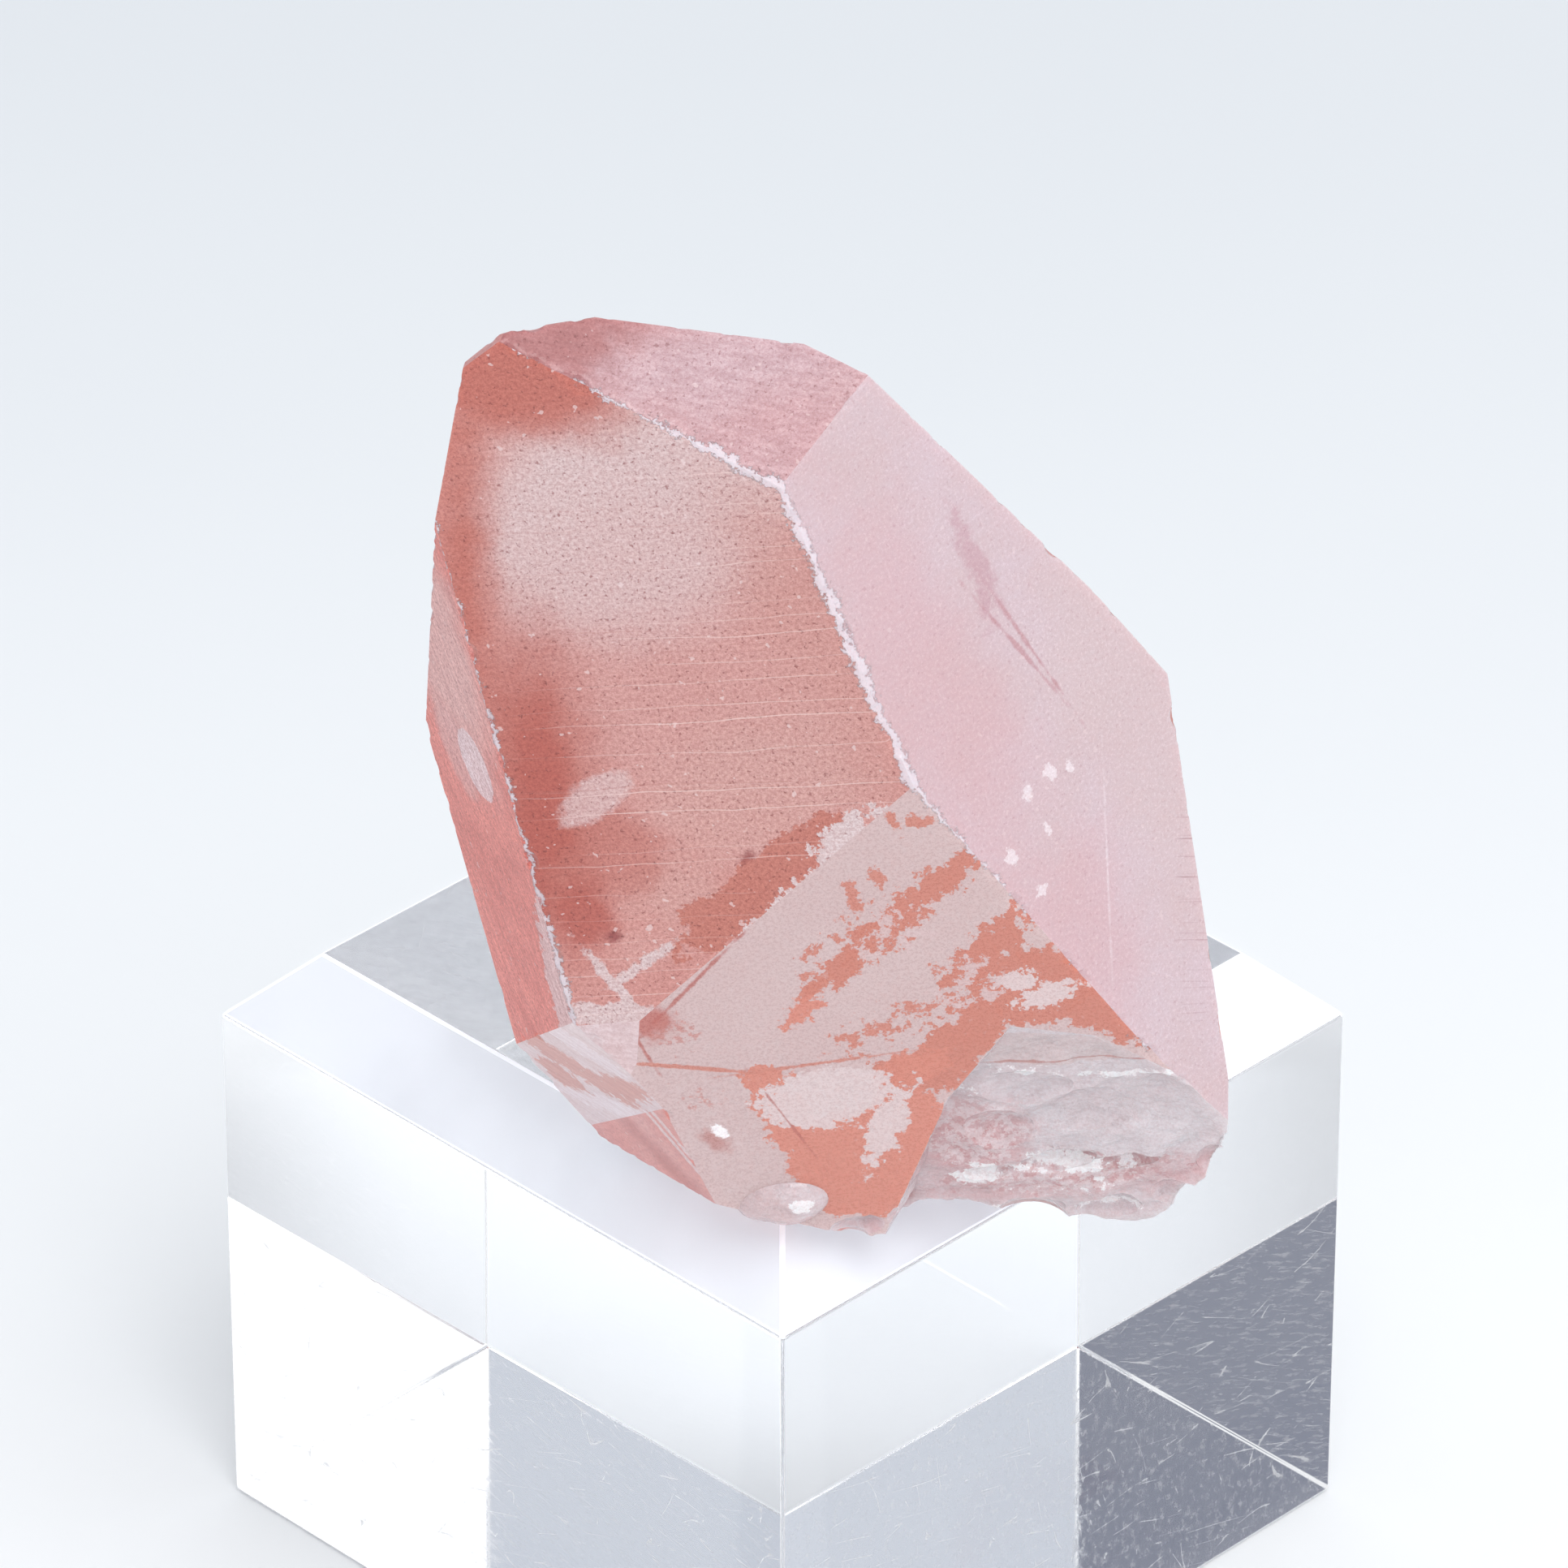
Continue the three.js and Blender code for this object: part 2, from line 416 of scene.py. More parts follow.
def positions(bm: bmesh.types.BMesh) -> np.ndarray:
    """The places of all vertices, in millimetres."""
    return np.array([vert.co[:] for vert in bm.verts]).reshape(-1, 3) / MM


def put_back(bm: bmesh.types.BMesh, points: np.ndarray) -> None:
    """Moves all vertices to the given places, in millimetres."""
    for vert, place in zip(bm.verts, points * MM):
        vert.co = place


def nearest_points(places: Sequence[Sequence[float]]) -> kdtree.KDTree:
    """Prepares a search for the nearest of some places.

    Args:
        places: the places.

    Returns:
        The search tree, which numbers the places in their order.
    """
    tree = kdtree.KDTree(len(places))
    for number, place in enumerate(places):
        tree.insert(place, number)
    tree.balance()
    return tree


# ------------------------------------------------------------------ the crystal's mesh


@dataclass(frozen=True)
class Relief:
    """Relief of a broken surface, in millimetres.

    Args:
        swell: height of its broad swell.
        rings: height of its shell-like rings.
    """

    swell: float
    rings: float


RELIEF = {Surface.BREAK: Relief(0.3, 0.06), Surface.BASE: Relief(0.25, 0.0)}
RING_CENTRE = (20, 8, -14)  # from the heart, in the crystal's own axes

LUMP_PLACE = (12.9, -3.6, -20.7)  # from the heart, in the crystal's own axes
LUMP_RADII = (1.5, 2.3, 1.5)

# Segments round each rounded solid, and from pole to pole.
HOLLOW_RINGS = (30, 18)
LUMP_RINGS = (26, 16)
SCALLOP_RINGS = (22, 14)


@dataclass
class CrystalMesh:
    """Makes the crystal's mesh from its faces, dents, hollows, chips and ripples.

    Lengths are in millimetres and angles in degrees.

    Args:
        seed: seed of the chips.
        slice_step: distance between the planes that first slice the faces up.
        first_slice: place of the first of these planes, as a share of that distance.
        finest: edge length of the mesh beside the sharp edges.
        coarsest: edge length far from them.
        fine_band: width of the finest band.
        growth: how fast the edge length grows outside it.
        break_step: longest edge on the fresh break.
        slack: how many times too long an edge is before it is split.
        rounds: how often the long edges are split at most.
        sharp_angle: edges that turn by less don't chip.
        shortest_chipped: shorter edges within one kind of surface don't chip.
        flat_angle: faces that differ by less are one face.
        crease_angle: edges that turn by more are shaded sharp.
        sliver: narrower triangles are merged away.
        scatter: how far a chip's centre strays sideways, as a share of its radius.
        least_depth: the shallowest chip, as a share of the depth drawn for it.
        rim_fade: distance over which the relief fades out at a broken surface's rim.
        swell_size: size of the broad swell.
        ring_width: distance between the shell-like rings.
        ring_sway: how far the rings sway, in rings.
        sway_size: size of that sway.
        least_frost: the lowest value kept for the bruised band.
        materials: one material for each kind of surface.
    """

    seed: int = 7
    slice_step: float = 4.3
    first_slice: float = 0.37
    finest: float = 0.2
    coarsest: float = 0.85
    fine_band: float = 0.7
    growth: float = 0.5
    break_step: float = 0.32
    slack: float = 1.35
    rounds: int = 9
    sharp_angle: float = 20.0
    shortest_chipped: float = 1.0
    flat_angle: float = 0.4
    crease_angle: float = 28.0
    sliver: float = 0.03
    scatter: float = 0.12
    least_depth: float = 0.4
    rim_fade: float = 1.6
    swell_size: float = 3.1
    ring_width: float = 1.35
    ring_sway: float = 0.35
    sway_size: float = 2.5
    least_frost: float = -3.0
    materials: Sequence[bpy.types.Material] = ()

    def dressed(self, mesh: bpy.types.Mesh) -> bpy.types.Mesh:
        """Gives a mesh every material slot, so that booleans keep the slots apart.

        Args:
            mesh: the mesh.

        Returns:
            The same mesh.
        """
        for material in self.materials:
            mesh.materials.append(material)
        return mesh

    def faceted(self, name: str, facets: Iterable[Facet], flipped: bool = False) -> bpy.types.Object:
        """Cuts a rough cube along the faces.

        Args:
            name: name of the object.
            facets: the faces.
            flipped: keeps what lies beyond all faces, which is the shape of a dent.

        Returns:
            The closed solid.
        """
        bm = bmesh.new()
        bmesh.ops.create_cube(bm, size=ROUGH_SIZE, matrix=Matrix.Translation(HEART))
        for facet in facets:
            cut_off(bm, facet.centre, -facet.normal if flipped else facet.normal, facet.surface.index)
        bmesh.ops.recalc_face_normals(bm, faces=bm.faces)
        return new_object(name, self.dressed(mesh_from(bm, name)))

    def rounded(self, name: str, surface: Surface, place: Matrix, rings: tuple[int, int]) -> bpy.types.Object:
        """Makes an ellipsoid.

        Args:
            name: name of the object.
            surface: what it is dressed with.
            place: turns, scales and moves a sphere of radius 1 mm.
            rings: numbers of segments round it and from pole to pole.

        Returns:
            The closed solid.
        """
        bm = bmesh.new()
        bmesh.ops.create_uvsphere(bm, u_segments=rings[0], v_segments=rings[1], radius=MM, matrix=place)
        for face in bm.faces:
            face.material_index = surface.index
        return new_object(name, self.dressed(mesh_from(bm, name)))

    def base_tool(self, hollow: BaseHollow) -> bpy.types.Object:
        """Makes the solid that hollows out a shell of the base.

        Args:
            hollow: the hollow's place, radii and turn.

        Returns:
            The closed solid.
        """
        place = (
            Matrix.Translation(HEART + Vector(hollow.place) * MM)
            @ Matrix.Rotation(math.radians(hollow.turn), 4, "Z")
            @ Matrix.Diagonal((*hollow.radii, 1.0))
        )
        return self.rounded("hollow", Surface.BASE, place, HOLLOW_RINGS)

    def lump(self) -> bpy.types.Object:
        """Makes the rounded lump of clear quartz at the front of the foot.

        Returns:
            The closed solid.
        """
        place = (
            Matrix.Translation(HEART + TURN @ Vector(LUMP_PLACE) * MM)
            @ TURN.to_4x4()
            @ Matrix.Diagonal((*LUMP_RADII, 1.0))
        )
        return self.rounded("lump", Surface.BREAK, place, LUMP_RINGS)

    def rest_on_block(self, body: bpy.types.Object) -> None:
        """Cuts the crystal's base flat, just above the display block.

        Args:
            body: the crystal so far.
        """
        bm = bmesh.new()
        bm.from_mesh(body.data)
        rest = Vector((0, 0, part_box("display_block")[1].z + RESTING_GAP))
        cut_off(bm, rest, Vector((0, 0, -1)), Surface.BASE.index)
        bmesh.ops.recalc_face_normals(bm, faces=bm.faces)
        bm.to_mesh(body.data)
        bm.free()

    def coarse(self) -> bpy.types.Object:
        """Makes the whole crystal with sharp edges.

        Returns:
            The closed solid.
        """
        body = self.faceted("quartz", GROWN_FACES + BROKEN_FACES)
        for number, facets in enumerate(DENTS):
            combine(body, self.faceted(f"dent_{number}", facets, flipped=True), "DIFFERENCE")
        combine(body, self.lump(), "UNION")
        for scallop in SCALLOPS:
            combine(body, self.rounded("scallop", Surface.BREAK, scallop.place, SCALLOP_RINGS), "DIFFERENCE")
        self.rest_on_block(body)
        for hollow in BASE_HOLLOWS:
            combine(body, self.base_tool(hollow), "DIFFERENCE")
        return body

    def sharp_edges(self, bm: bmesh.types.BMesh) -> list[Edge]:
        """Lists the convex edges that can chip.

        Args:
            bm: the coarse crystal.

        Returns:
            The edges, each from its upper to its lower end.
        """
        found = []
        kinds = list(Surface)
        for edge in bm.edges:
            if len(edge.link_faces) != 2:
                continue
            if edge.calc_face_angle_signed(0.0) < math.radians(self.sharp_angle):
                continue
            one, two = edge.link_faces
            outward = np.array((one.normal + two.normal).normalized())
            ends = sorted((np.array(vert.co) / MM for vert in edge.verts), key=lambda place: -place[2])
            pair = frozenset((kinds[one.material_index], kinds[two.material_index]))
            if len(pair) == 1 and edge.calc_length() < self.shortest_chipped * MM:
                continue
            found.append(Edge(ends[0], ends[1], outward, pair))
        return found

    def wanted_length(self, points: np.ndarray, edges: Sequence[Edge]) -> np.ndarray:
        """Works out how long the mesh's edges may be at some points.

        Args:
            points: an N by 3 array in millimetres.
            edges: the sharp edges, beside which the mesh is finest.

        Returns:
            N lengths in millimetres.
        """
        nearest = np.min([edge.distance(points) for edge in edges], axis=0)
        wanted = self.finest + self.growth * np.maximum(nearest - self.fine_band, 0)
        return np.clip(wanted, self.finest, self.coarsest)

    def cleaned(self, bm: bmesh.types.BMesh) -> None:
        """Merges slivers and back-to-back twins away, and leaves triangles only.

        Args:
            bm: the mesh.
        """
        bmesh.ops.remove_doubles(bm, verts=bm.verts, dist=self.sliver * MM)
        bmesh.ops.dissolve_degenerate(bm, edges=bm.edges, dist=self.sliver * MM)
        bmesh.ops.triangulate(bm, faces=[face for face in bm.faces if len(face.verts) > 3])
        corners: dict[frozenset[bmesh.types.BMVert], list[bmesh.types.BMFace]] = {}
        for face in bm.faces:
            corners.setdefault(frozenset(face.verts), []).append(face)
        twins = [face for group in corners.values() if len(group) > 1 for face in group]
        bmesh.ops.delete(bm, geom=twins, context="FACES")

    def sliced(self, bm: bmesh.types.BMesh) -> None:
        """Slices the faces into small pieces along planes across all three axes.

        Args:
            bm: the coarse crystal.
        """
        points = positions(bm)
        low, high = points.min(0), points.max(0)
        for axis in range(3):
            outward = Vector((0, 0, 0))
            outward[axis] = 1
            start = low[axis] + self.first_slice * self.slice_step
            for place in np.arange(start, high[axis], self.slice_step):
                everything = bm.verts[:] + bm.edges[:] + bm.faces[:]
                bmesh.ops.bisect_plane(bm, geom=everything, plane_co=outward * (place * MM), plane_no=outward)
        self.cleaned(bm)

    def refine(self, bm: bmesh.types.BMesh, edges: Sequence[Edge]) -> None:
        """Splits long edges until the mesh is fine enough.

        Args:
            bm: the sliced crystal.
            edges: the sharp edges, beside which the mesh is finest.
        """
        slot = Surface.BREAK.index
        for _ in range(self.rounds):
            ends = np.array([(*edge.verts[0].co, *edge.verts[1].co) for edge in bm.edges]) / MM
            length = np.linalg.norm(ends[:, :3] - ends[:, 3:], axis=1)
            wanted = self.wanted_length((ends[:, :3] + ends[:, 3:]) / 2, edges)
            broken = np.array([any(f.material_index == slot for f in edge.link_faces) for edge in bm.edges])
            wanted = np.where(broken, np.minimum(wanted, self.break_step), wanted)
            too_long = length > self.slack * wanted
            long_edges = [edge for edge, is_long in zip(bm.edges, too_long) if is_long]
            if not long_edges:
                break
            bmesh.ops.subdivide_edges(bm, edges=long_edges, cuts=1, use_single_edge=True, use_grid_fill=True)
            self.cleaned(bm)

    def chips_along(self, edge: Edge, rng: np.random.Generator) -> Iterable[tuple[np.ndarray, float]]:
        """Places the shell-shaped chips along an edge.

        Args:
            edge: the sharp edge.
            rng: draws the chips.

        Returns:
            The centre and radius of each chip, one after another.
        """
        length = float(np.linalg.norm(edge.end - edge.start))
        wear = edge.wear
        count = max(1, round(length / wear.spacing))
        for _ in range(count):
            place = edge.start + (edge.end - edge.start) * rng.random()
            radius = rng.uniform(*wear.radius)
            depth = rng.uniform(*wear.depth) * rng.uniform(self.least_depth, 1.0)
            sideways = rng.normal(0.0, self.scatter, 3)
            yield place + (edge.outward + sideways) * (radius - depth), radius

    def chip(self, points: np.ndarray, edges: Sequence[Edge]) -> np.ndarray:
        """Carves the chips out of the edges.

        Args:
            points: the vertices' places.
            edges: the sharp edges.

        Returns:
            The new places.
        """
        rng = np.random.default_rng(self.seed)
        tree = nearest_points(points)
        for edge in edges:
            for centre, radius in self.chips_along(edge, rng):
                near = [number for _, number, _ in tree.find_range(centre, radius)]
                if not near:
                    continue
                away = points[near] - centre
                reach = np.linalg.norm(away, axis=1, keepdims=True)
                points[near] = centre + away * np.maximum(radius / np.maximum(reach, 1e-6), 1.0)
        return points

    def relief_at(self, point: np.ndarray, relief: Relief) -> float:
        """Works out how far a broken surface rises at one place.

        Args:
            point: the place, in millimetres.
            relief: the surface's relief.

        Returns:
            The height in millimetres.
        """
        place = Vector(point)
        centre = np.array(HEART / MM) + np.array(TURN @ Vector(RING_CENTRE))
        broad = noise.fractal(place / self.swell_size, 1.0, 2.0, 4) * relief.swell
        reach = float(np.linalg.norm(point - centre))
        sway = self.ring_sway * noise.noise(place / self.sway_size)
        rings = math.sin(2 * math.pi * (reach / self.ring_width + sway)) * relief.rings
        return broad - relief.swell / 2 + rings

    def ripple(self, bm: bmesh.types.BMesh, points: np.ndarray) -> np.ndarray:
        """Gives the fresh break and the base their relief, which fades out at their rims.

        Args:
            bm: the fine crystal.
            points: the vertices' places.

        Returns:
            The new places.
        """
        rim = [v for v in bm.verts if len({f.material_index for f in v.link_faces}) > 1]
        tree = nearest_points([vert.co for vert in rim])
        for surface, relief in RELIEF.items():
            inner = [v for v in bm.verts if all(f.material_index == surface.index for f in v.link_faces)]
            for vert in inner:
                fade = min(tree.find(vert.co)[2] / (self.rim_fade * MM), 1.0)
                height = self.relief_at(points[vert.index], relief) * fade * fade * (3 - 2 * fade)
                points[vert.index] += np.array(vert.normal) * height
        return points

    def worn(self, bm: bmesh.types.BMesh, edges: Sequence[Edge]) -> np.ndarray:
        """Gives the fine mesh its relief and its chips.

        Args:
            bm: the fine mesh.
            edges: the sharp edges.

        Returns:
            How deep inside the bruised band each vertex lay before that, in millimetres.
        """
        bm.verts.index_update()
        bm.normal_update()
        points = positions(bm)
        frost = np.max([edge.frost(points) for edge in edges if edge.wear.frost], axis=0)
        put_back(bm, self.chip(self.ripple(bm, points), edges))
        return np.maximum(frost, self.least_frost)

    def build(self) -> bpy.types.Object:
        """Makes the finished crystal.

        Returns:
            The crystal, with a "frost" number on each vertex for the materials.
        """
        body = self.coarse()
        bm = bmesh.new()
        bm.from_mesh(body.data)
        bmesh.ops.remove_doubles(bm, verts=bm.verts, dist=TOUCHING)
        limit = math.radians(self.flat_angle)
        bmesh.ops.dissolve_limit(bm, angle_limit=limit, verts=bm.verts, edges=bm.edges, delimit={"MATERIAL"})
        bm.normal_update()
        edges = self.sharp_edges(bm)
        LOG.info("coarse crystal: %d faces, %d sharp edges", len(bm.faces), len(edges))
        self.sliced(bm)
        self.refine(bm, edges)
        frost = self.worn(bm, edges)
        for face in bm.faces:
            face.smooth = True
        bm.to_mesh(body.data)
        bm.free()
        layer = body.data.attributes.new("frost", "FLOAT", "POINT")
        layer.data.foreach_set("value", frost.astype(np.float32))
        body.data.set_sharp_from_angle(angle=math.radians(self.crease_angle))
        LOG.info("fine crystal: %d triangles", len(body.data.polygons))
        return body


# ------------------------------------------------------------------ node graphs


class Graph:
    """Adds nodes to one material and links them."""

    @classmethod
    def over(cls, tree: bpy.types.NodeTree) -> "Graph":
        """Starts a graph over an emptied node tree, without a shader.

        Args:
            tree: the node tree.

        Returns:
            The graph.
        """
        graph = cls.__new__(cls)
        graph.tree = tree
        tree.nodes.clear()
        return graph

    def __init__(self, name: str) -> None:
        """Starts a material with one Principled shader.

        Args:
            name: name of the material.
        """
        self.material = bpy.data.materials.new(name)
        self.material.use_nodes = True
        self.tree = self.material.node_tree
        self.tree.nodes.clear()
        self.output = self.node("ShaderNodeOutputMaterial")
        self.shader = self.node("ShaderNodeBsdfPrincipled")
        self.tree.links.new(self.shader.outputs[0], self.output.inputs["Surface"])

    def node(self, kind: str, **settings: object) -> bpy.types.Node:
        """Adds a node.

        Args:
            kind: the node's type.
            **settings: properties to set on it.

        Returns:
            The node.
        """
        made = self.tree.nodes.new(kind)
        for key, value in settings.items():
            setattr(made, key, value)
        return made

    def feed(self, socket: Socket, value: object) -> None:
        """Links a socket to another, or sets its value.

        Args:
            socket: the input.
            value: an output, a number, a vector or a colour.
        """
        if isinstance(value, bpy.types.NodeSocket):
            self.tree.links.new(value, socket)
        elif isinstance(value, tuple) and len(value) == 3 and socket.type == "RGBA":
            socket.default_value = (*value, 1.0)
        else:
            socket.default_value = value

    def own_place(self) -> Socket:
        """The place in the object's own axes, in metres."""
        return self.node("ShaderNodeTexCoord").outputs["Object"]

    def math(self, operation: str, *values: object, clamp: bool = False) -> Socket:
        """Adds a Math node.

        Args:
            operation: what it does.
            *values: its inputs.
            clamp: keeps the result between 0 and 1.

        Returns:
            Its result.
        """
        made = self.node("ShaderNodeMath", operation=operation, use_clamp=clamp)
        for socket, value in zip(made.inputs, values):
            self.feed(socket, value)
        return made.outputs[0]

    def vector(self, operation: str, *values: object) -> bpy.types.Node:
        """Adds a Vector Math node.

        Args:
            operation: what it does.
            *values: its inputs.

        Returns:
            The node, whose result is a vector or a value.
        """
        made = self.node("ShaderNodeVectorMath", operation=operation)
        for socket, value in zip(made.inputs, values):
            self.feed(socket, value)
        return made

    def along(self, coords: Socket, direction: Sequence[float]) -> Socket:
        """How far each place lies in a direction."""
        return self.vector("DOT_PRODUCT", coords, direction).outputs["Value"]

    def axis(self, coords: Socket, number: int) -> Socket:
        """One number of a vector or a colour.

        Args:
            coords: the vector.
            number: 0, 1 or 2.

        Returns:
            The number.
        """
        parts = self.node("ShaderNodeSeparateXYZ")
        self.feed(parts.inputs[0], coords)
        return parts.outputs[number]

    def mapped(
        self, coords: Socket, location: Sequence[float], turn: Euler, scale: Sequence[float]
    ) -> Socket:
        """Measures coordinates from a place, along turned axes.

        Args:
            coords: the coordinates.
            location: the place.
            turn: how the axes are turned.
            scale: the length of one unit along each axis.

        Returns:
            The new coordinates.
        """
        made = self.node("ShaderNodeMapping", vector_type="TEXTURE")
        self.feed(made.inputs["Vector"], coords)
        made.inputs["Location"].default_value = location
        made.inputs["Rotation"].default_value = turn
        made.inputs["Scale"].default_value = scale
        return made.outputs[0]

    def stretched(self, coords: Socket, scale: Sequence[float], turn: float = 0.0) -> Socket:
        """Stretches coordinates for a pattern that is longer one way.

        Args:
            coords: the coordinates.
            scale: how many times finer the pattern is along each turned axis.
            turn: how far the pattern is turned clockwise in the face, in degrees.

        Returns:
            The new coordinates.
        """
        made = self.node("ShaderNodeMapping", vector_type="POINT")
        self.feed(made.inputs["Vector"], coords)
        made.inputs["Rotation"].default_value = (0, 0, math.radians(turn))
        scaled = self.node("ShaderNodeMapping", vector_type="POINT")
        self.feed(scaled.inputs["Vector"], made.outputs[0])
        scaled.inputs["Scale"].default_value = scale
        return scaled.outputs[0]

    def noise(self, coords: Socket, scale: float, detail: float = 4, roughness: float = 0.55) -> Socket:
        """Adds fractal noise.

        Args:
            coords: the coordinates.
            scale: features per unit.
            detail: how many finer octaves it has.
            roughness: how strong they are.

        Returns:
            A value about 0.5.
        """
        made = self.node("ShaderNodeTexNoise")
        self.feed(made.inputs["Vector"], coords)
        made.inputs["Scale"].default_value = scale
        made.inputs["Detail"].default_value = detail
        made.inputs["Roughness"].default_value = roughness
        return made.outputs[0]

    def cells(self, coords: Socket, scale: float, detail: float) -> Socket:
        """Adds a crumbly pattern of cells.

        Args:
            coords: the coordinates.
            scale: cells per unit.
            detail: how many finer octaves it has.

        Returns:
            The distance to the nearest cell's point.
        """
        made = self.node("ShaderNodeTexVoronoi", normalize=True)
        self.feed(made.inputs["Vector"], coords)
        made.inputs["Scale"].default_value = scale
        made.inputs["Detail"].default_value = detail
        made.inputs["Roughness"].default_value = 0.7
        return made.outputs["Distance"]

    def step(self, value: Socket, low: float, high: float) -> Socket:
        """Adds a smooth rise.

        Args:
            value: the value.
            low: below this, the result is 0.
            high: above this, the result is 1.

        Returns:
            The result.
        """
        made = self.node("ShaderNodeMapRange", interpolation_type="SMOOTHSTEP")
        self.feed(made.inputs["Value"], value)
        made.inputs["From Min"].default_value = low
        made.inputs["From Max"].default_value = high
        return made.outputs[0]

    def mix(self, factor: object, first: object, second: object, blend: str = "MIX") -> Socket:
        """Mixes two colours.

        Args:
            factor: how much of the second there is.
            first: the first colour.
            second: the second colour.
            blend: how they mix.

        Returns:
            The mixed colour.
        """
        made = self.node("ShaderNodeMix", data_type="RGBA", blend_type=blend)
        self.feed(made.inputs["Factor"], factor)
        colours = [socket for socket in made.inputs if socket.type == "RGBA"]
        self.feed(colours[0], first)
        self.feed(colours[1], second)
        return next(socket for socket in made.outputs if socket.type == "RGBA")

    def tinted(self, colour: object, tint: Colour) -> Socket:
        """A colour multiplied by a tint."""
        return self.mix(1.0, colour, tint, "MULTIPLY")

    def bump(self, height: Socket) -> Socket:
        """Adds a Bump node.

        Args:
            height: the relief in millimetres.

        Returns:
            The normal.
        """
        made = self.node("ShaderNodeBump")
        made.inputs["Distance"].default_value = MM
        made.inputs["Strength"].default_value = 1.0
        self.feed(made.inputs["Height"], height)
        return made.outputs[0]


# ------------------------------------------------------------------ finishes of the quartz


@dataclass(frozen=True)
class Patch:
    """An elliptical place on a face, in millimetres, turned counter-clockwise by some degrees."""

    x: float
    y: float
    rx: float
    ry: float
    turn: float = 0.0


@dataclass(frozen=True)
class Fade:
    """Fades a mask out in one direction on a face.

    Args:
        heading: the direction, in degrees counter-clockwise from the right.
        start: how far that way it is still full, in millimetres.
        stop: how far that way it is gone, in millimetres.
    """

    heading: float
    start: float
    stop: float


@dataclass(frozen=True)
class Stain:
    """One layer of colour over some patches of a face.

    Args:
        colour: linear colour.
        patches: where it lies.
        ragged: how far its outline wanders, in millimetres.
        soft: width of its fading rim, in millimetres.
        strength: how much it covers.
        grain: size of the outline's wander, in millimetres.
        crumble: how far small crumbs and teeth stand out of its outline, in millimetres.
        fade: where it fades out, or nowhere.
        bias: how far its outline grows, in millimetres. Well below zero, only islands are left of it.
    """

    colour: Colour
    patches: tuple[Patch, ...]
    ragged: float = 0.6
    soft: float = 1.5
    strength: float = 1.0
    grain: float = 1.6
    crumble: float = 0.0
    fade: Fade | None = None
    bias: float = 0.0


@dataclass(frozen=True)
class Lines:
    """Fine parallel lines across a face, such as growth lines or hairline cracks.

    Args:
        colour: linear colour.
        strength: how much a line covers.
        spacing: mean distance between lines, in millimetres.
        turn: how far the face is turned, in degrees, to lay the lines level.
        cover: higher values leave shorter pieces of each line.
        width: share of the spacing that a line takes.
        area: where they lie, or everywhere.
        fade: where they fade out, or nowhere.
    """

    colour: Colour
    strength: float = 0.5
    spacing: float = 0.7
    turn: float = 0.0
    cover: float = 0.55
    width: float = 0.028
    area: Patch | None = None
    fade: Fade | None = None


@dataclass(frozen=True)
class Layer:
    """The colour of a finish so far, and its relief in millimetres."""

    colour: Socket
    height: Socket


# Tints, which multiply the colour under them.
PALE_STREAK = (1.12, 1.1, 1.12)
DARK_STREAK = (0.86, 0.72, 0.74)
PALE_GRAIN = (1.14, 1.24, 1.24)
DARK_GRAIN = (0.7, 0.52, 0.52)
PIT_TINT = (0.55, 0.34, 0.34)

FLECK = (0.78, 0.64, 0.64)
SPLINTER = (0.88, 0.86, 0.88)
QUARTZ_IOR = 1.54


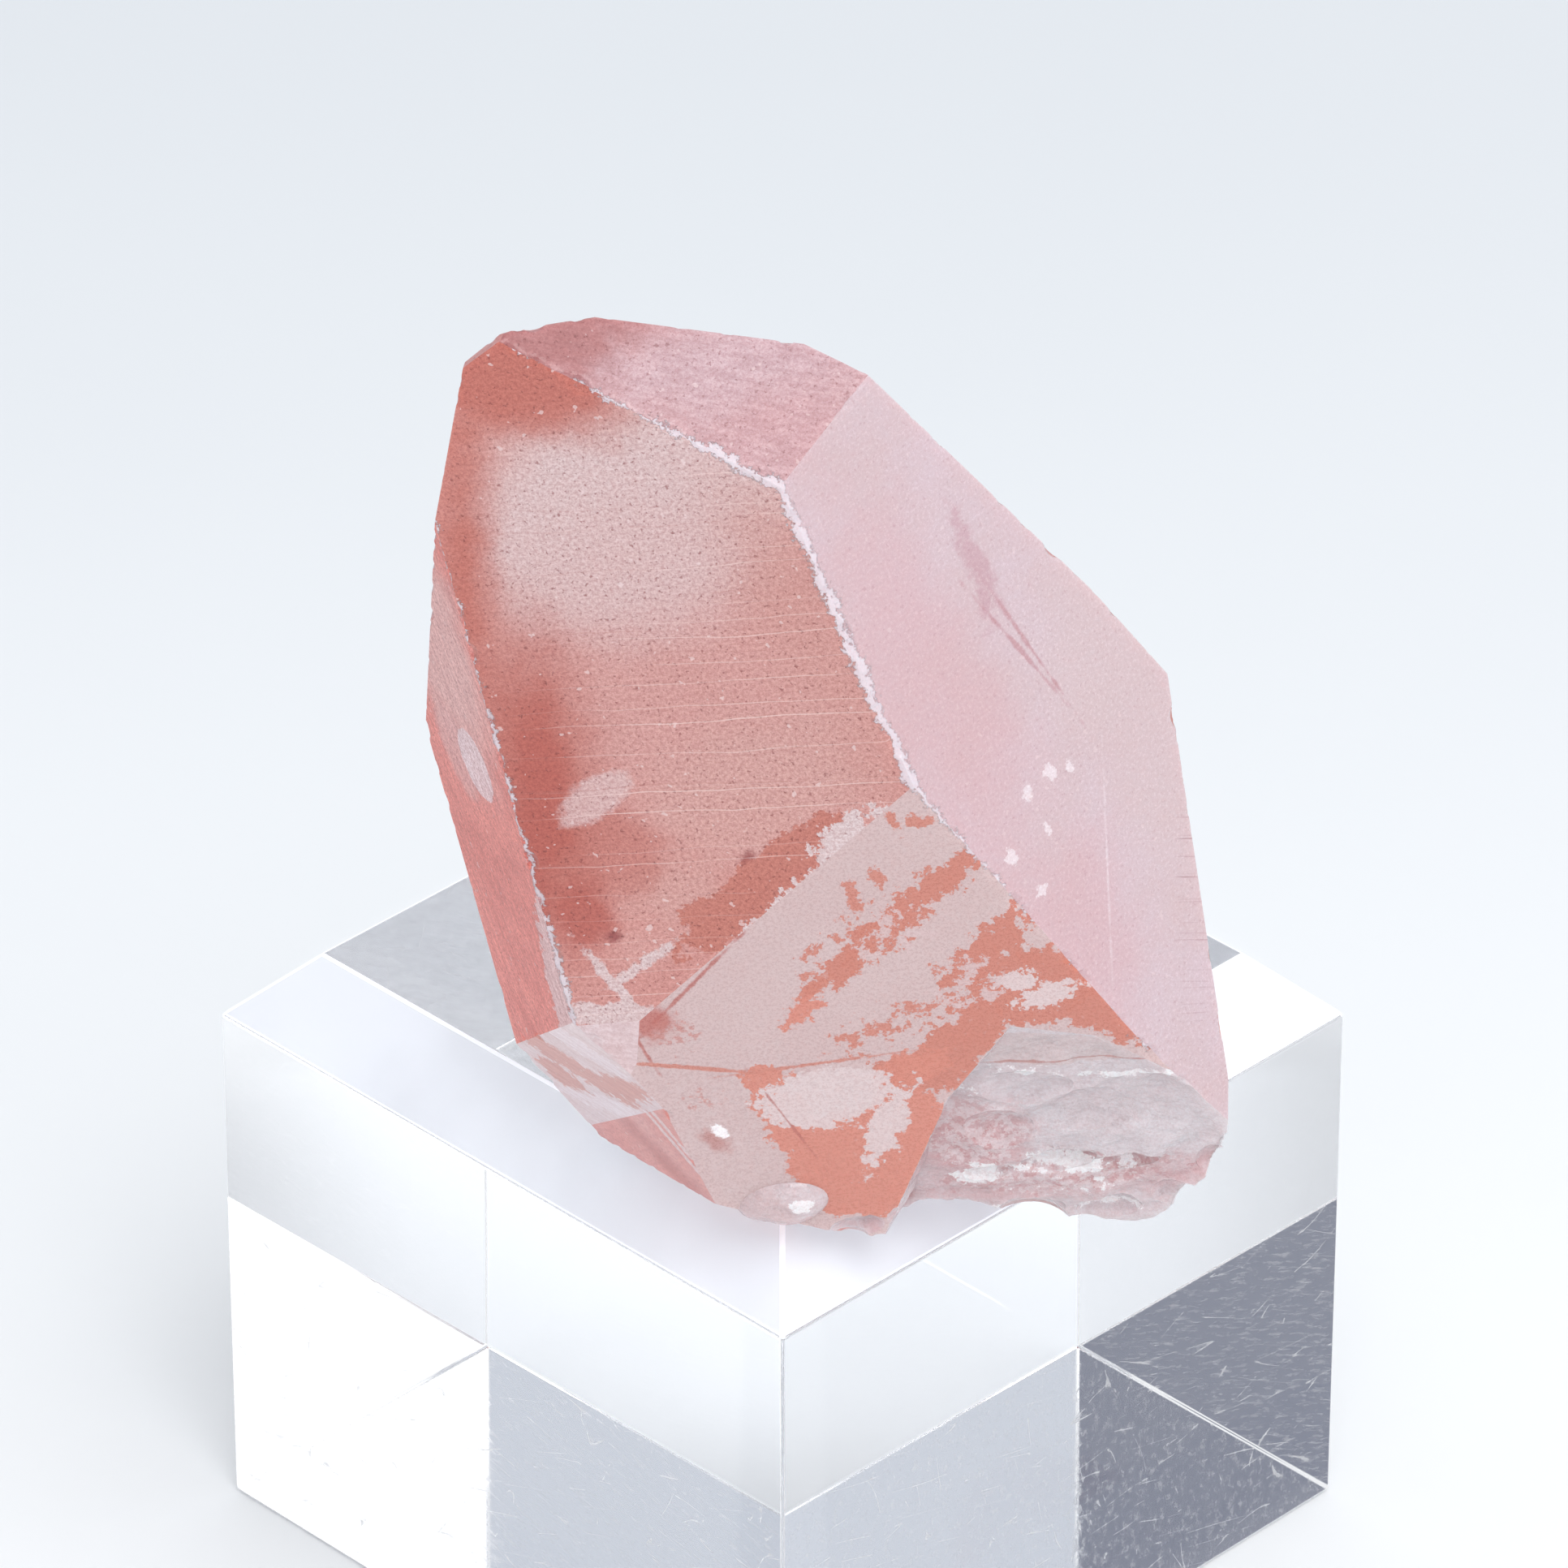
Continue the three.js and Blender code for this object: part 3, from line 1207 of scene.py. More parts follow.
@dataclass(frozen=True)
class QuartzFinish:
    """The finish of one kind of face, laid out in millimetres on a facet.

    Args:
        surface: the kind of face.
        facet: the face on which places are measured.
        ground: the first of two colours that lie in broad clouds.
        second: the second.
        stains: layers of colour, from the lowest up.
        lines: sets of fine lines.
        streaks: how strong the fibrous streaks are.
        streak_turn: how far they are turned clockwise, in degrees.
        grain_depth: how strong the fine speckle is.
        pits: how dark the pits are.
        splinters: how splintered the surface is.
        flecks: how strong the pale flecks are.
        roughness: roughness of the polished parts.
        coat: how much clear gloss lies over it.
        subsurface: how much light spreads inside.
        frost: colour of the bruises beside the sharp edges.
    """

    surface: Surface
    facet: Facet
    ground: Colour
    second: Colour
    stains: tuple[Stain, ...] = ()
    lines: tuple[Lines, ...] = ()
    streaks: float = 0.0
    streak_turn: float = -14.0
    grain_depth: float = 0.18
    pits: float = 0.5
    splinters: float = 0.0
    flecks: float = 0.35
    roughness: float = 0.34
    coat: float = 0.25
    subsurface: float = 0.25
    frost: Colour = (0.71, 0.63, 0.68)

    def coords(self, graph: Graph) -> Socket:
        """Millimetres to the right, up and out, from the facet's centre."""
        return graph.mapped(graph.own_place(), self.facet.centre, self.facet.axes.to_euler(), (MM, MM, MM))

    def inside(self, graph: Graph, coords: Socket, patch: Patch) -> Socket:
        """Works out about how deep inside a patch each place lies.

        Args:
            graph: the material's graph.
            coords: the face's coordinates.
            patch: the patch.

        Returns:
            The depth in millimetres. It is negative outside.
        """
        turn = Euler((0, 0, math.radians(patch.turn)))
        own = graph.mapped(coords, (patch.x, patch.y, 0), turn, (patch.rx, patch.ry, 40.0))
        reach = graph.vector("LENGTH", own).outputs["Value"]
        size = min(patch.rx, patch.ry)
        return graph.math("MULTIPLY_ADD", reach, -size, size)

    def faded(self, graph: Graph, coords: Socket, mask: Socket, fade: Fade | None) -> Socket:
        """Fades a mask out in one direction.

        Args:
            graph: the material's graph.
            coords: the face's coordinates.
            mask: the mask.
            fade: where it fades out, or nowhere.

        Returns:
            The new mask.
        """
        if fade is None:
            return mask
        heading = math.radians(fade.heading)
        along = graph.along(coords, (math.cos(heading), math.sin(heading), 0.0))
        return graph.math("MULTIPLY", mask, graph.step(along, fade.stop, fade.start))

    def cover(self, graph: Graph, coords: Socket, stain: Stain, seed: int) -> Socket:
        """Works out how much of a stain covers each place.

        Args:
            graph: the material's graph.
            coords: the face's coordinates.
            stain: the stain.
            seed: shifts its noise away from other stains' noise.

        Returns:
            A mask from 0 to 1.
        """
        depth = self.inside(graph, coords, stain.patches[0])
        for patch in stain.patches[1:]:
            depth = graph.math("MAXIMUM", depth, self.inside(graph, coords, patch))
        if stain.bias < 0:
            depth = graph.math("MINIMUM", depth, 1.0)
        offset = graph.vector("ADD", coords, (13.7 * seed, 5.1 * seed, 0.0)).outputs[0]
        wander = graph.noise(offset, 1.0 / stain.grain, 7, 0.72 if stain.crumble else 0.62)
        shift = graph.math("MULTIPLY_ADD", wander, 4 * stain.ragged, stain.bias - 2 * stain.ragged)
        depth = graph.math("ADD", depth, shift)
        if stain.crumble:
            elsewhere = graph.vector("ADD", offset, (3.1, 7.7, 0.0)).outputs[0]
            crumbs = graph.cells(elsewhere, scale=2.1, detail=3.0)
            teeth = graph.math("MULTIPLY_ADD", crumbs, -3.6 * stain.crumble, 1.7 * stain.crumble)
            depth = graph.math("ADD", depth, teeth)
        mask = graph.step(depth, -stain.soft / 2, stain.soft / 2)
        mask = self.faded(graph, coords, mask, stain.fade)
        return graph.math("MULTIPLY", mask, stain.strength)

    def ruled(self, graph: Graph, coords: Socket, lines: Lines) -> Socket:
        """Works out how much of a set of lines covers each place.

        Args:
            graph: the material's graph.
            coords: the face's coordinates.
            lines: the lines.

        Returns:
            A mask from 0 to 1.
        """
        across = graph.axis(graph.stretched(coords, (1, 1, 1), lines.turn), 1)
        sway = graph.noise(graph.stretched(coords, (0.1, 0.25, 1), lines.turn), 1.0, 3, 0.55)
        level = graph.math("MULTIPLY_ADD", across, 1.0 / lines.spacing, graph.math("MULTIPLY", sway, 0.8))
        rows = graph.node("ShaderNodeTexVoronoi", voronoi_dimensions="1D")
        graph.feed(rows.inputs["W"], level)
        rows.inputs["Scale"].default_value = 1.0
        edge = graph.step(rows.outputs["Distance"], lines.width * 0.4, lines.width)
        thin = graph.math("SUBTRACT", 1.0, edge)
        pieces = graph.noise(graph.stretched(coords, (0.13, 1.7, 1), lines.turn), 1.0, 4, 0.6)
        mask = graph.math("MULTIPLY", thin, graph.step(pieces, lines.cover - 0.12, lines.cover + 0.1))
        loudness = graph.math("MULTIPLY_ADD", graph.axis(rows.outputs["Color"], 0), 0.8, 0.2)
        mask = graph.math("MULTIPLY", mask, loudness)
        if lines.area:
            area = graph.step(self.inside(graph, coords, lines.area), -0.2, 0.6)
            mask = graph.math("MULTIPLY", mask, area)
        mask = self.faded(graph, coords, mask, lines.fade)
        return graph.math("MULTIPLY", mask, lines.strength)

    def clouded(self, graph: Graph, coords: Socket) -> Layer:
        """Lays the ground: two colours in broad clouds, and a low swell.

        Args:
            graph: the material's graph.
            coords: the face's coordinates.

        Returns:
            The first layer.
        """
        clouds = graph.step(graph.noise(coords, scale=0.16, detail=5, roughness=0.6), 0.35, 0.68)
        swell = graph.noise(coords, scale=0.5, detail=6, roughness=0.6)
        return Layer(graph.mix(clouds, self.ground, self.second), graph.math("MULTIPLY", swell, 0.02))

    def stained(self, graph: Graph, coords: Socket, layer: Layer) -> Layer:
        """Lays the stains over the ground.

        Args:
            graph: the material's graph.
            coords: the face's coordinates.
            layer: the finish so far.

        Returns:
            The stained finish.
        """
        colour = layer.colour
        for number, stain in enumerate(self.stains, start=1):
            colour = graph.mix(self.cover(graph, coords, stain, number), colour, stain.colour)
        return Layer(colour, layer.height)

    def streaked(self, graph: Graph, coords: Socket, layer: Layer) -> Layer:
        """Lays fibrous streaks over the colour.

        Args:
            graph: the material's graph.
            coords: the face's coordinates.
            layer: the finish so far.

        Returns:
            The streaked finish.
        """
        drawn = graph.stretched(coords, (0.6, 3.0, 1.0), self.streak_turn)
        fibre = graph.noise(drawn, scale=1.0, detail=5, roughness=0.65)
        pale = graph.tinted(layer.colour, PALE_STREAK)
        dark = graph.tinted(layer.colour, DARK_STREAK)
        streaky = graph.mix(graph.step(fibre, 0.36, 0.64), dark, pale)
        height = graph.math("MULTIPLY_ADD", fibre, 0.03 * self.streaks, layer.height)
        return Layer(graph.mix(self.streaks, layer.colour, streaky), height)

    def speckled(self, graph: Graph, grain: Socket, layer: Layer) -> Layer:
        """Lays the fine speckle over the colour.

        Args:
            graph: the material's graph.
            grain: the fine noise.
            layer: the finish so far.

        Returns:
            The speckled finish.
        """
        darker = graph.tinted(layer.colour, DARK_GRAIN)
        lighter = graph.tinted(layer.colour, PALE_GRAIN)
        speckle = graph.mix(graph.step(grain, 0.36, 0.64), darker, lighter)
        return Layer(graph.mix(self.grain_depth, layer.colour, speckle), layer.height)

    def pitted(self, graph: Graph, coords: Socket, layer: Layer) -> Layer:
        """Sinks small dark pits into the surface.

        Args:
            graph: the material's graph.
            coords: the face's coordinates.
            layer: the finish so far.

        Returns:
            The pitted finish.
        """
        specks = graph.step(graph.noise(coords, scale=4.4, detail=2, roughness=0.6), 0.6, 0.69)
        mask = graph.math("MULTIPLY", specks, self.pits)
        colour = graph.mix(mask, layer.colour, graph.tinted(layer.colour, PIT_TINT))
        return Layer(colour, graph.math("MULTIPLY_ADD", mask, -0.015, layer.height))

    def flecked(self, graph: Graph, coords: Socket, layer: Layer) -> Layer:
        """Scatters pale flecks over the surface.

        Args:
            graph: the material's graph.
            coords: the face's coordinates.
            layer: the finish so far.

        Returns:
            The flecked finish.
        """
        elsewhere = graph.vector("ADD", coords, (31.0, 17.0, 0.0)).outputs[0]
        fleck = graph.step(graph.noise(elsewhere, scale=1.9, detail=2, roughness=0.55), 0.68, 0.71)
        mask = graph.math("MULTIPLY", fleck, self.flecks)
        return Layer(graph.mix(mask, layer.colour, FLECK), layer.height)

    def splintered(self, graph: Graph, coords: Socket, layer: Layer) -> Layer:
        """Breaks the surface into small ledges and clefts with white lips.

        Args:
            graph: the material's graph.
            coords: the face's coordinates.
            layer: the finish so far.

        Returns:
            The splintered finish.
        """
        ledges = graph.noise(graph.stretched(coords, (0.55, 1.8, 1.0), 5), 1.0, 7, 0.76)
        saw = graph.math("FRACT", graph.math("MULTIPLY", ledges, 6.0))
        height = graph.math("MULTIPLY_ADD", saw, 0.03 * self.splinters, layer.height)
        clefts = graph.noise(graph.stretched(coords, (3.8, 2.0, 1.0), -8), 1.0, 7, 0.8)
        height = graph.math("MULTIPLY_ADD", clefts, 0.16 * self.splinters, height)
        lips = graph.math("MULTIPLY", graph.step(saw, 0.8, 0.98), graph.step(clefts, 0.55, 0.62))
        mask = graph.math("MULTIPLY", lips, self.splinters)
        return Layer(graph.mix(mask, layer.colour, SPLINTER), height)

    def bruises(self, graph: Graph, coords: Socket) -> Socket:
        """Works out where the white bruises beside the sharp edges lie.

        Args:
            graph: the material's graph.
            coords: the face's coordinates.

        Returns:
            A mask from 0 to 1.
        """
        inside = graph.node("ShaderNodeAttribute", attribute_name="frost").outputs["Fac"]
        patchy = graph.math("MULTIPLY_ADD", graph.noise(coords, 0.45, 3, 0.6), 1.3, -0.65)
        teeth = graph.math("MULTIPLY_ADD", graph.noise(coords, 2.2, 6, 0.8), 1.9, -0.95)
        return graph.step(graph.math("ADD", graph.math("ADD", inside, patchy), teeth), -0.03, 0.06)

    def bruised(self, graph: Graph, coords: Socket, frosty: Socket, layer: Layer) -> Layer:
        """Lays the bruises over everything else.

        Args:
            graph: the material's graph.
            coords: the face's coordinates.
            frosty: where they lie.
            layer: the finish so far.

        Returns:
            The bruised finish.
        """
        colour = graph.mix(graph.math("MULTIPLY", frosty, 0.9), layer.colour, self.frost)
        crust = graph.noise(coords, scale=3.0, detail=5, roughness=0.7)
        thickness = graph.math("MULTIPLY", frosty, 0.08)
        return Layer(colour, graph.math("MULTIPLY_ADD", crust, thickness, layer.height))

    def polish(self, graph: Graph, grain: Socket, frosty: Socket, layer: Layer) -> None:
        """Feeds the shader with the finish.

        Args:
            graph: the material's graph.
            grain: the fine noise.
            frosty: where the bruises lie.
            layer: the whole finish.
        """
        shader = graph.shader
        graph.feed(shader.inputs["Base Color"], layer.colour)
        rough = graph.math("MULTIPLY_ADD", grain, 0.16, self.roughness - 0.08)
        rough = graph.math("MULTIPLY_ADD", frosty, 0.25, rough, clamp=True)
        graph.feed(shader.inputs["Roughness"], rough)
        shader.inputs["IOR"].default_value = QUARTZ_IOR
        shader.inputs["Coat Weight"].default_value = self.coat
        shader.inputs["Coat Roughness"].default_value = 0.12
        shader.inputs["Subsurface Weight"].default_value = self.subsurface
        shader.inputs["Subsurface Radius"].default_value = (1.0, 0.55, 0.5)
        shader.inputs["Subsurface Scale"].default_value = 1.6 * MM
        graph.feed(shader.inputs["Normal"], graph.bump(layer.height))

    def build(self) -> bpy.types.Material:
        """Makes the material.

        Returns:
            The material of this kind of face.
        """
        graph = Graph(self.surface.value.replace(" ", "_"))
        coords = self.coords(graph)
        layer = self.stained(graph, coords, self.clouded(graph, coords))
        if self.streaks:
            layer = self.streaked(graph, coords, layer)
        grain = graph.noise(coords, scale=5.8, detail=3, roughness=0.9)
        layer = self.speckled(graph, grain, layer)
        if self.pits:
            layer = self.pitted(graph, coords, layer)
        if self.flecks:
            layer = self.flecked(graph, coords, layer)
        if self.splinters:
            layer = self.splintered(graph, coords, layer)
        for lines in self.lines:
            mask = self.ruled(graph, coords, lines)
            layer = Layer(graph.mix(mask, layer.colour, lines.colour), layer.height)
        frosty = self.bruises(graph, coords)
        layer = self.bruised(graph, coords, frosty, layer)
        self.polish(graph, grain, frosty, layer)
        return graph.material


# Linear colours of the quartz.
BRICK = (0.455, 0.115, 0.085)
DEEP = (0.43, 0.085, 0.06)
BLUSH = (0.60, 0.355, 0.34)
PALE = (0.64, 0.46, 0.455)
ORANGE = (0.56, 0.185, 0.13)
LILAC = (0.59, 0.465, 0.505)
MILK = (0.78, 0.70, 0.73)
# Painted white flashes of light: highlights and reflections off cracks inside the quartz.
PAINTED_FLASH = (0.96, 0.92, 0.94)
DARK = (0.25, 0.03, 0.03)

FINISHES: tuple[QuartzFinish, ...] = (
    QuartzFinish(
        Surface.FRONT, FRONT_PRISM, (0.6, 0.275, 0.245), (0.565, 0.245, 0.215),
        stains=(
            Stain(
                (0.65, 0.505, 0.505), (Patch(0.2, 18.3, 7.9, 5.8, 24),), ragged=0.6, soft=4.2,
                strength=0.95, grain=3.0, fade=Fade(-60, -14, 2),
            ),
            Stain(BLUSH, (Patch(1.0, 11.0, 8.5, 9.0),), ragged=1.2, soft=7.0, strength=0.4, grain=4.0),
            Stain(
                (0.56, 0.27, 0.24), (Patch(6.8, 12.5, 2.6, 7.0, 14),), ragged=1.0, soft=4.0, strength=0.6,
                grain=3.0,
            ),
            Stain(
                (0.6, 0.34, 0.31), (Patch(2.5, 3.5, 5.5, 3.5, 20), Patch(-2.5, -1.5, 2.0, 2.0)), ragged=1.0,
                soft=3.0, strength=0.6, grain=3.0,
            ),
            Stain(
                (0.49, 0.135, 0.1), (Patch(-8.3, 16.2, 1.1, 9.0, -13.5), Patch(-5.5, 28.0, 8, 4.2, -32)),
                ragged=0.5, soft=2.4, strength=0.95, grain=2.0,
            ),
            Stain(
                BRICK, (Patch(-8.5, 3.8, 3.1, 8.3, -14),), ragged=0.6, soft=3.6, strength=0.85, grain=2.5,
            ),
            Stain(BRICK, (Patch(-5.4, 1.0, 2.5, 2.4, -8),), ragged=0.5, soft=1.4, strength=0.5, grain=1.6),
            Stain(
                DEEP, (Patch(-8.1, 3.5, 1.3, 6.5, -14), Patch(-7.4, -2.2, 1.5, 2.0)), ragged=0.6, soft=1.6,
                strength=0.85, grain=2.0,
            ),
            Stain(
                (0.62, 0.32, 0.29), (Patch(-5.0, -3.9, 1.4, 0.8),), ragged=0.5, soft=1.6, strength=0.7,
                grain=2.0,
            ),
            Stain(
                PALE, (Patch(-5.3, 4.0, 2.0, 0.85, 32),), ragged=0.3, soft=0.4, strength=0.75, grain=1.0,
                crumble=0.12,
            ),
            Stain(
                (0.5, 0.155, 0.113), (Patch(1.4, -1.2, 4.8, 1.15, 36), Patch(-1.4, -2.8, 1.2, 1.0)),
                ragged=0.45, soft=0.1, strength=0.9, grain=1.3, crumble=0.3,
            ),
            Stain(
                (0.66, 0.535, 0.54), (Patch(2.3, -3.3, 5.6, 0.95, 38), Patch(5.7, 0.6, 1.3, 0.6, 38)),
                ragged=0.7, soft=0.1, strength=0.95, grain=1.0, crumble=0.6,
            ),
            Stain(
                (0.66, 0.535, 0.54),
                (
                    Patch(-7.4, -7.4, 2.4, 0.5, -5), Patch(-6.65, -6.2, 1.4, 0.16, -65),
                    Patch(-5.3, -4.9, 0.9, 0.1, 30),
                ),
                ragged=0.2, soft=0.15, strength=0.85, grain=0.9, crumble=0.2,
            ),
            Stain(
                DARK, (Patch(1.0, 0.3, 0.4, 0.2, 30), Patch(-6.2, -3.3, 0.35, 0.25)), ragged=0.15, soft=0.3,
                strength=0.8, grain=0.5,
            ),
        ),
        lines=(
            Lines(
                (0.8, 0.62, 0.59), strength=0.62, spacing=1.15, turn=2.2, cover=0.44, width=0.03,
                fade=Fade(150, 4, 13),
            ),
            Lines((0.42, 0.15, 0.13), strength=0.35, spacing=1.7, turn=2.2, cover=0.5, width=0.025),
        ),
        grain_depth=0.65, pits=0.8, flecks=0.5,
    ),
    QuartzFinish(
        Surface.RIGHT, RIGHT_PRISM, LILAC, (0.575, 0.435, 0.455),
        stains=(
            Stain(
                (0.59, 0.37, 0.395), (Patch(-8, 4, 4, 10, 8), Patch(-5.5, -10, 4, 5)), ragged=1.6, soft=5.0,
                strength=0.6, grain=4.0,
            ),
            Stain(
                (0.585, 0.455, 0.47), (Patch(4.5, -9, 3.4, 10, 12), Patch(3, 1, 4, 5)), ragged=1.2,
                soft=4.0, strength=0.8, grain=4.0,
            ),
            Stain(
                (0.45, 0.22, 0.26), (Patch(-2.9, 8.3, 0.6, 2.2, 10), Patch(-3.1, 6.4, 0.3, 1.2, -8)),
                ragged=0.5, soft=0.6, strength=0.45, grain=0.8,
            ),
            Stain(
                (0.46, 0.23, 0.25), (Patch(-2.3, 3.4, 0.1, 3.3, 22), Patch(-1.6, 2.9, 0.08, 3.0, 16)),
                ragged=0.1, soft=0.14, strength=0.7, grain=0.9,
            ),
            Stain(
                MILK,
                (
                    Patch(-4.6, -2.8, 0.3, 0.2, 40), Patch(-3.0, -2.7, 0.22, 0.35, 10),
                    Patch(-1.8, -3.0, 0.16, 0.2), Patch(-6.7, -4.9, 0.2, 0.32, 20),
                    Patch(-5.7, -7.2, 0.24, 0.18), Patch(-4.2, -4.8, 0.14, 0.2),
                    Patch(-7.4, -7.6, 0.3, 0.16, 60), Patch(-7.9, -10.3, 0.34, 0.2, 30),
                ),
                ragged=0.3, soft=0.08, strength=0.72, grain=0.6, crumble=0.12,
            ),
            Stain(
                MILK, (Patch(-1.8, -8.4, 4.0, 0.06, 68),), ragged=0.05, soft=0.12, strength=0.45, grain=0.8,
            ),
        ),
        lines=(
            Lines((0.5, 0.34, 0.36), strength=0.3, spacing=1.6, turn=12, cover=0.56),
            Lines(
                (0.33, 0.17, 0.18), strength=0.8, spacing=0.55, turn=30, cover=0.46, width=0.07,
                area=Patch(2.4, -12.3, 1.3, 7.2, -25),
            ),
        ),
        grain_depth=0.2, pits=0.25, flecks=0.3, roughness=0.26, coat=0.25, subsurface=0.4,
    ),
    QuartzFinish(
        Surface.LEFT, LEFT_PRISM, (0.76, 0.235, 0.19), (0.66, 0.175, 0.14),
        stains=(
            Stain(
                (0.71, 0.43, 0.4), (Patch(3.0, 11.0, 5.0, 7.0, 10),), ragged=0.9, soft=4.0, strength=0.9,
                grain=3.0,
            ),
            Stain(
                (0.68, 0.4, 0.385), (Patch(1.6, 3.8, 1.9, 2.4, 20),), ragged=0.3, soft=0.8, strength=0.6,
                grain=1.0,
            ),
            Stain(MILK, (Patch(3.95, 4.05, 1.75, 1.8, 2),), ragged=0.1, soft=0.1, strength=0.7, grain=0.8),
            Stain(
                (0.7, 0.56, 0.56), (Patch(7.9, -4.4, 1.1, 4.4, -18), Patch(9.8, 1.4, 0.8, 3.6, -18)),
                ragged=0.6, soft=0.15, strength=0.75, grain=0.8, crumble=0.5,
            ),
        ),
        streaks=0.9, streak_turn=70.0, grain_depth=0.9, pits=0.8, roughness=0.45, coat=0.05,
    ),
    QuartzFinish(
        Surface.TOP, TOP_FRONT, (0.53, 0.35, 0.365), (0.52, 0.31, 0.325),
        stains=(
            Stain(
                (0.35, 0.11, 0.105), (Patch(-13.5, 12.8, 4.4, 2.3, -18), Patch(-9.5, 13, 4, 1.6, -25)),
                ragged=0.8, soft=2.6, strength=0.8, grain=2.0,
            ),
            Stain(
                (0.52, 0.37, 0.4), (Patch(-6.5, 8.0, 5.5, 1.9, -20),), ragged=1.0, soft=2.6, strength=0.75,
                grain=2.5,
            ),
            Stain(
                (0.52, 0.33, 0.35), (Patch(-8.8, 4.0, 5.0, 1.6, -18),), ragged=0.8, soft=2.4, strength=0.5,
                grain=2.0,
            ),
        ),
        streaks=0.6, streak_turn=36.7, grain_depth=0.5, pits=0.6, roughness=0.4,
    ),
    QuartzFinish(
        Surface.CAP, TOP_BACK, (0.52, 0.28, 0.28), (0.47, 0.2, 0.185), streaks=0.4, grain_depth=0.24,
        roughness=0.36,
    ),
    QuartzFinish(
        Surface.PRISM, BACK_PRISM, (0.57, 0.26, 0.23), BRICK,
        stains=(
            Stain(
                PALE, (Patch(0, 6, 7, 9), Patch(8, -9, 5, 6)), ragged=2.0, soft=5.0, strength=0.7,
                grain=5.0,
            ),
        ),
        lines=(Lines((0.78, 0.6, 0.58), strength=0.45, spacing=1.2, turn=1.0, cover=0.5),), grain_depth=0.3,
    ),
    QuartzFinish(
        Surface.LOWER, LOWER_FRONT, (0.585, 0.425, 0.42), (0.6, 0.45, 0.445),
        stains=(
            Stain(
                ORANGE,
                (
                    Patch(1.2, -2.5, 1.3, 0.35, 35), Patch(3.4, -0.8, 1.9, 0.6, 38),
                    Patch(5.8, 1.1, 1.7, 0.5, 33), Patch(7.3, 2.2, 0.7, 0.2, 50),
                    Patch(10.8, -6.4, 1.3, 0.8, -35), Patch(7.2, -3.4, 2.0, 0.7, 45),
                    Patch(9.6, -5.0, 2.6, 0.9, -20), Patch(11.6, -7.9, 3.6, 1.3, -42),
                    Patch(7.8, -6.8, 2.4, 1.1, -10), Patch(5.0, -8.6, 2.2, 1.1, 35),
                    Patch(2.6, -10.2, 2.0, 1.1, 0),
                ),
                ragged=0.8, soft=0.08, strength=0.95, grain=1.0, crumble=0.55,
            ),
            Stain(
                (0.62, 0.215, 0.155),
                (
                    Patch(-1.4, -15.6, 3.2, 3.4, 0), Patch(0.9, -13.6, 1.7, 2.6, -10),
                    Patch(-3.9, -12.4, 1.0, 2.6, 12), Patch(-4.3, -9.0, 0.8, 0.7, 0),
                    Patch(-1.6, -5.0, 0.5, 0.2, 40), Patch(2.2, -9.9, 1.4, 0.9, 20),
                ),
                ragged=0.6, soft=0.08, strength=0.95, grain=1.1, crumble=0.45,
            ),
            Stain(
                ORANGE,
                (
                    Patch(1.4, -1.4, 5.0, 2.4, 38), Patch(8.0, -5.5, 5.5, 3.0, -30),
                    Patch(1.5, -7.0, 4.5, 2.2, 20),
                ),
                ragged=1.1, soft=0.08, strength=0.9, grain=1.1, bias=-1.35, crumble=0.3,
            ),
            Stain(
                ORANGE,
                (
                    Patch(6.1, 5.3, 0.4, 0.2, -20), Patch(5.0, 5.5, 0.12, 0.3), Patch(2.2, 1.4, 0.12, 0.5),
                    Patch(3.5, 2.3, 0.2, 0.3), Patch(-0.6, -3.6, 0.3, 0.14, 40),
                ),
                ragged=0.3, soft=0.08, strength=0.9, grain=0.6, crumble=0.25,
            ),
            Stain(
                (0.67, 0.54, 0.54),
                (
                    Patch(-1.9, -10.7, 2.6, 1.5, 2), Patch(9.3, -6.6, 0.7, 0.3, 8),
                    Patch(8.3, -5.4, 0.5, 0.3), Patch(0.2, -13.4, 1.7, 0.4, 62),
                    Patch(-3.0, -12.0, 1.0, 0.4, -20),
                ),
                ragged=0.6, soft=0.08, strength=0.95, grain=0.9, crumble=0.5,
            ),
            Stain(
                (0.62, 0.46, 0.46), (Patch(6.0, -5.0, 2.6, 2.6, -30), Patch(4.0, -1.0, 4.0, 2.4, 38)),
                ragged=1.0, soft=0.08, strength=0.9, grain=1.1, bias=-1.3, crumble=0.3,
            ),
            Stain(
                (0.46, 0.12, 0.095), (Patch(-8.5, -4.3, 1.1, 1.0, 20),), ragged=0.6, soft=1.0,
                strength=0.85, grain=1.2,
            ),
            Stain(
                (0.5, 0.17, 0.14), (Patch(-7.6, -5.0, 2.0, 2.4), Patch(-7.4, -9.8, 2.2, 1.6)), ragged=0.9,
                soft=0.15, strength=0.6, grain=0.5, bias=-1.25, crumble=0.2,
            ),
            Stain(
                (0.42, 0.1, 0.08), (Patch(-5.9, -2.15, 3.3, 0.1, 41), Patch(-9.2, -5.9, 0.08, 1.3, 10)),
                ragged=0.08, soft=0.12, strength=0.8, grain=0.9,
            ),
            Stain(
                (0.55, 0.19, 0.14), (Patch(-7.2, -7.55, 2.6, 0.11, -20), Patch(-2.1, -8.5, 2.8, 0.06, -2)),
                ragged=0.1, soft=0.1, strength=0.9, grain=0.9, crumble=0.05,
            ),
            Stain(
                (0.42, 0.11, 0.09), (Patch(-4.0, -12.2, 0.06, 2.4, 14),), ragged=0.06, soft=0.08,
                strength=0.75, grain=0.9,
            ),
            Stain(
                (0.42, 0.12, 0.1), (Patch(-7.6, -12.6, 0.5, 0.9, 25),), ragged=0.4, soft=0.5, strength=0.6,
                grain=1.0,
            ),
            # Painted highlight: a small white flash of light on the lower front face.
            Stain(
                PAINTED_FLASH, (Patch(-7.2, -11.9, 0.3, 0.5, 20),), ragged=0.2, soft=0.1, strength=0.9, grain=0.5,
            ),
        ),
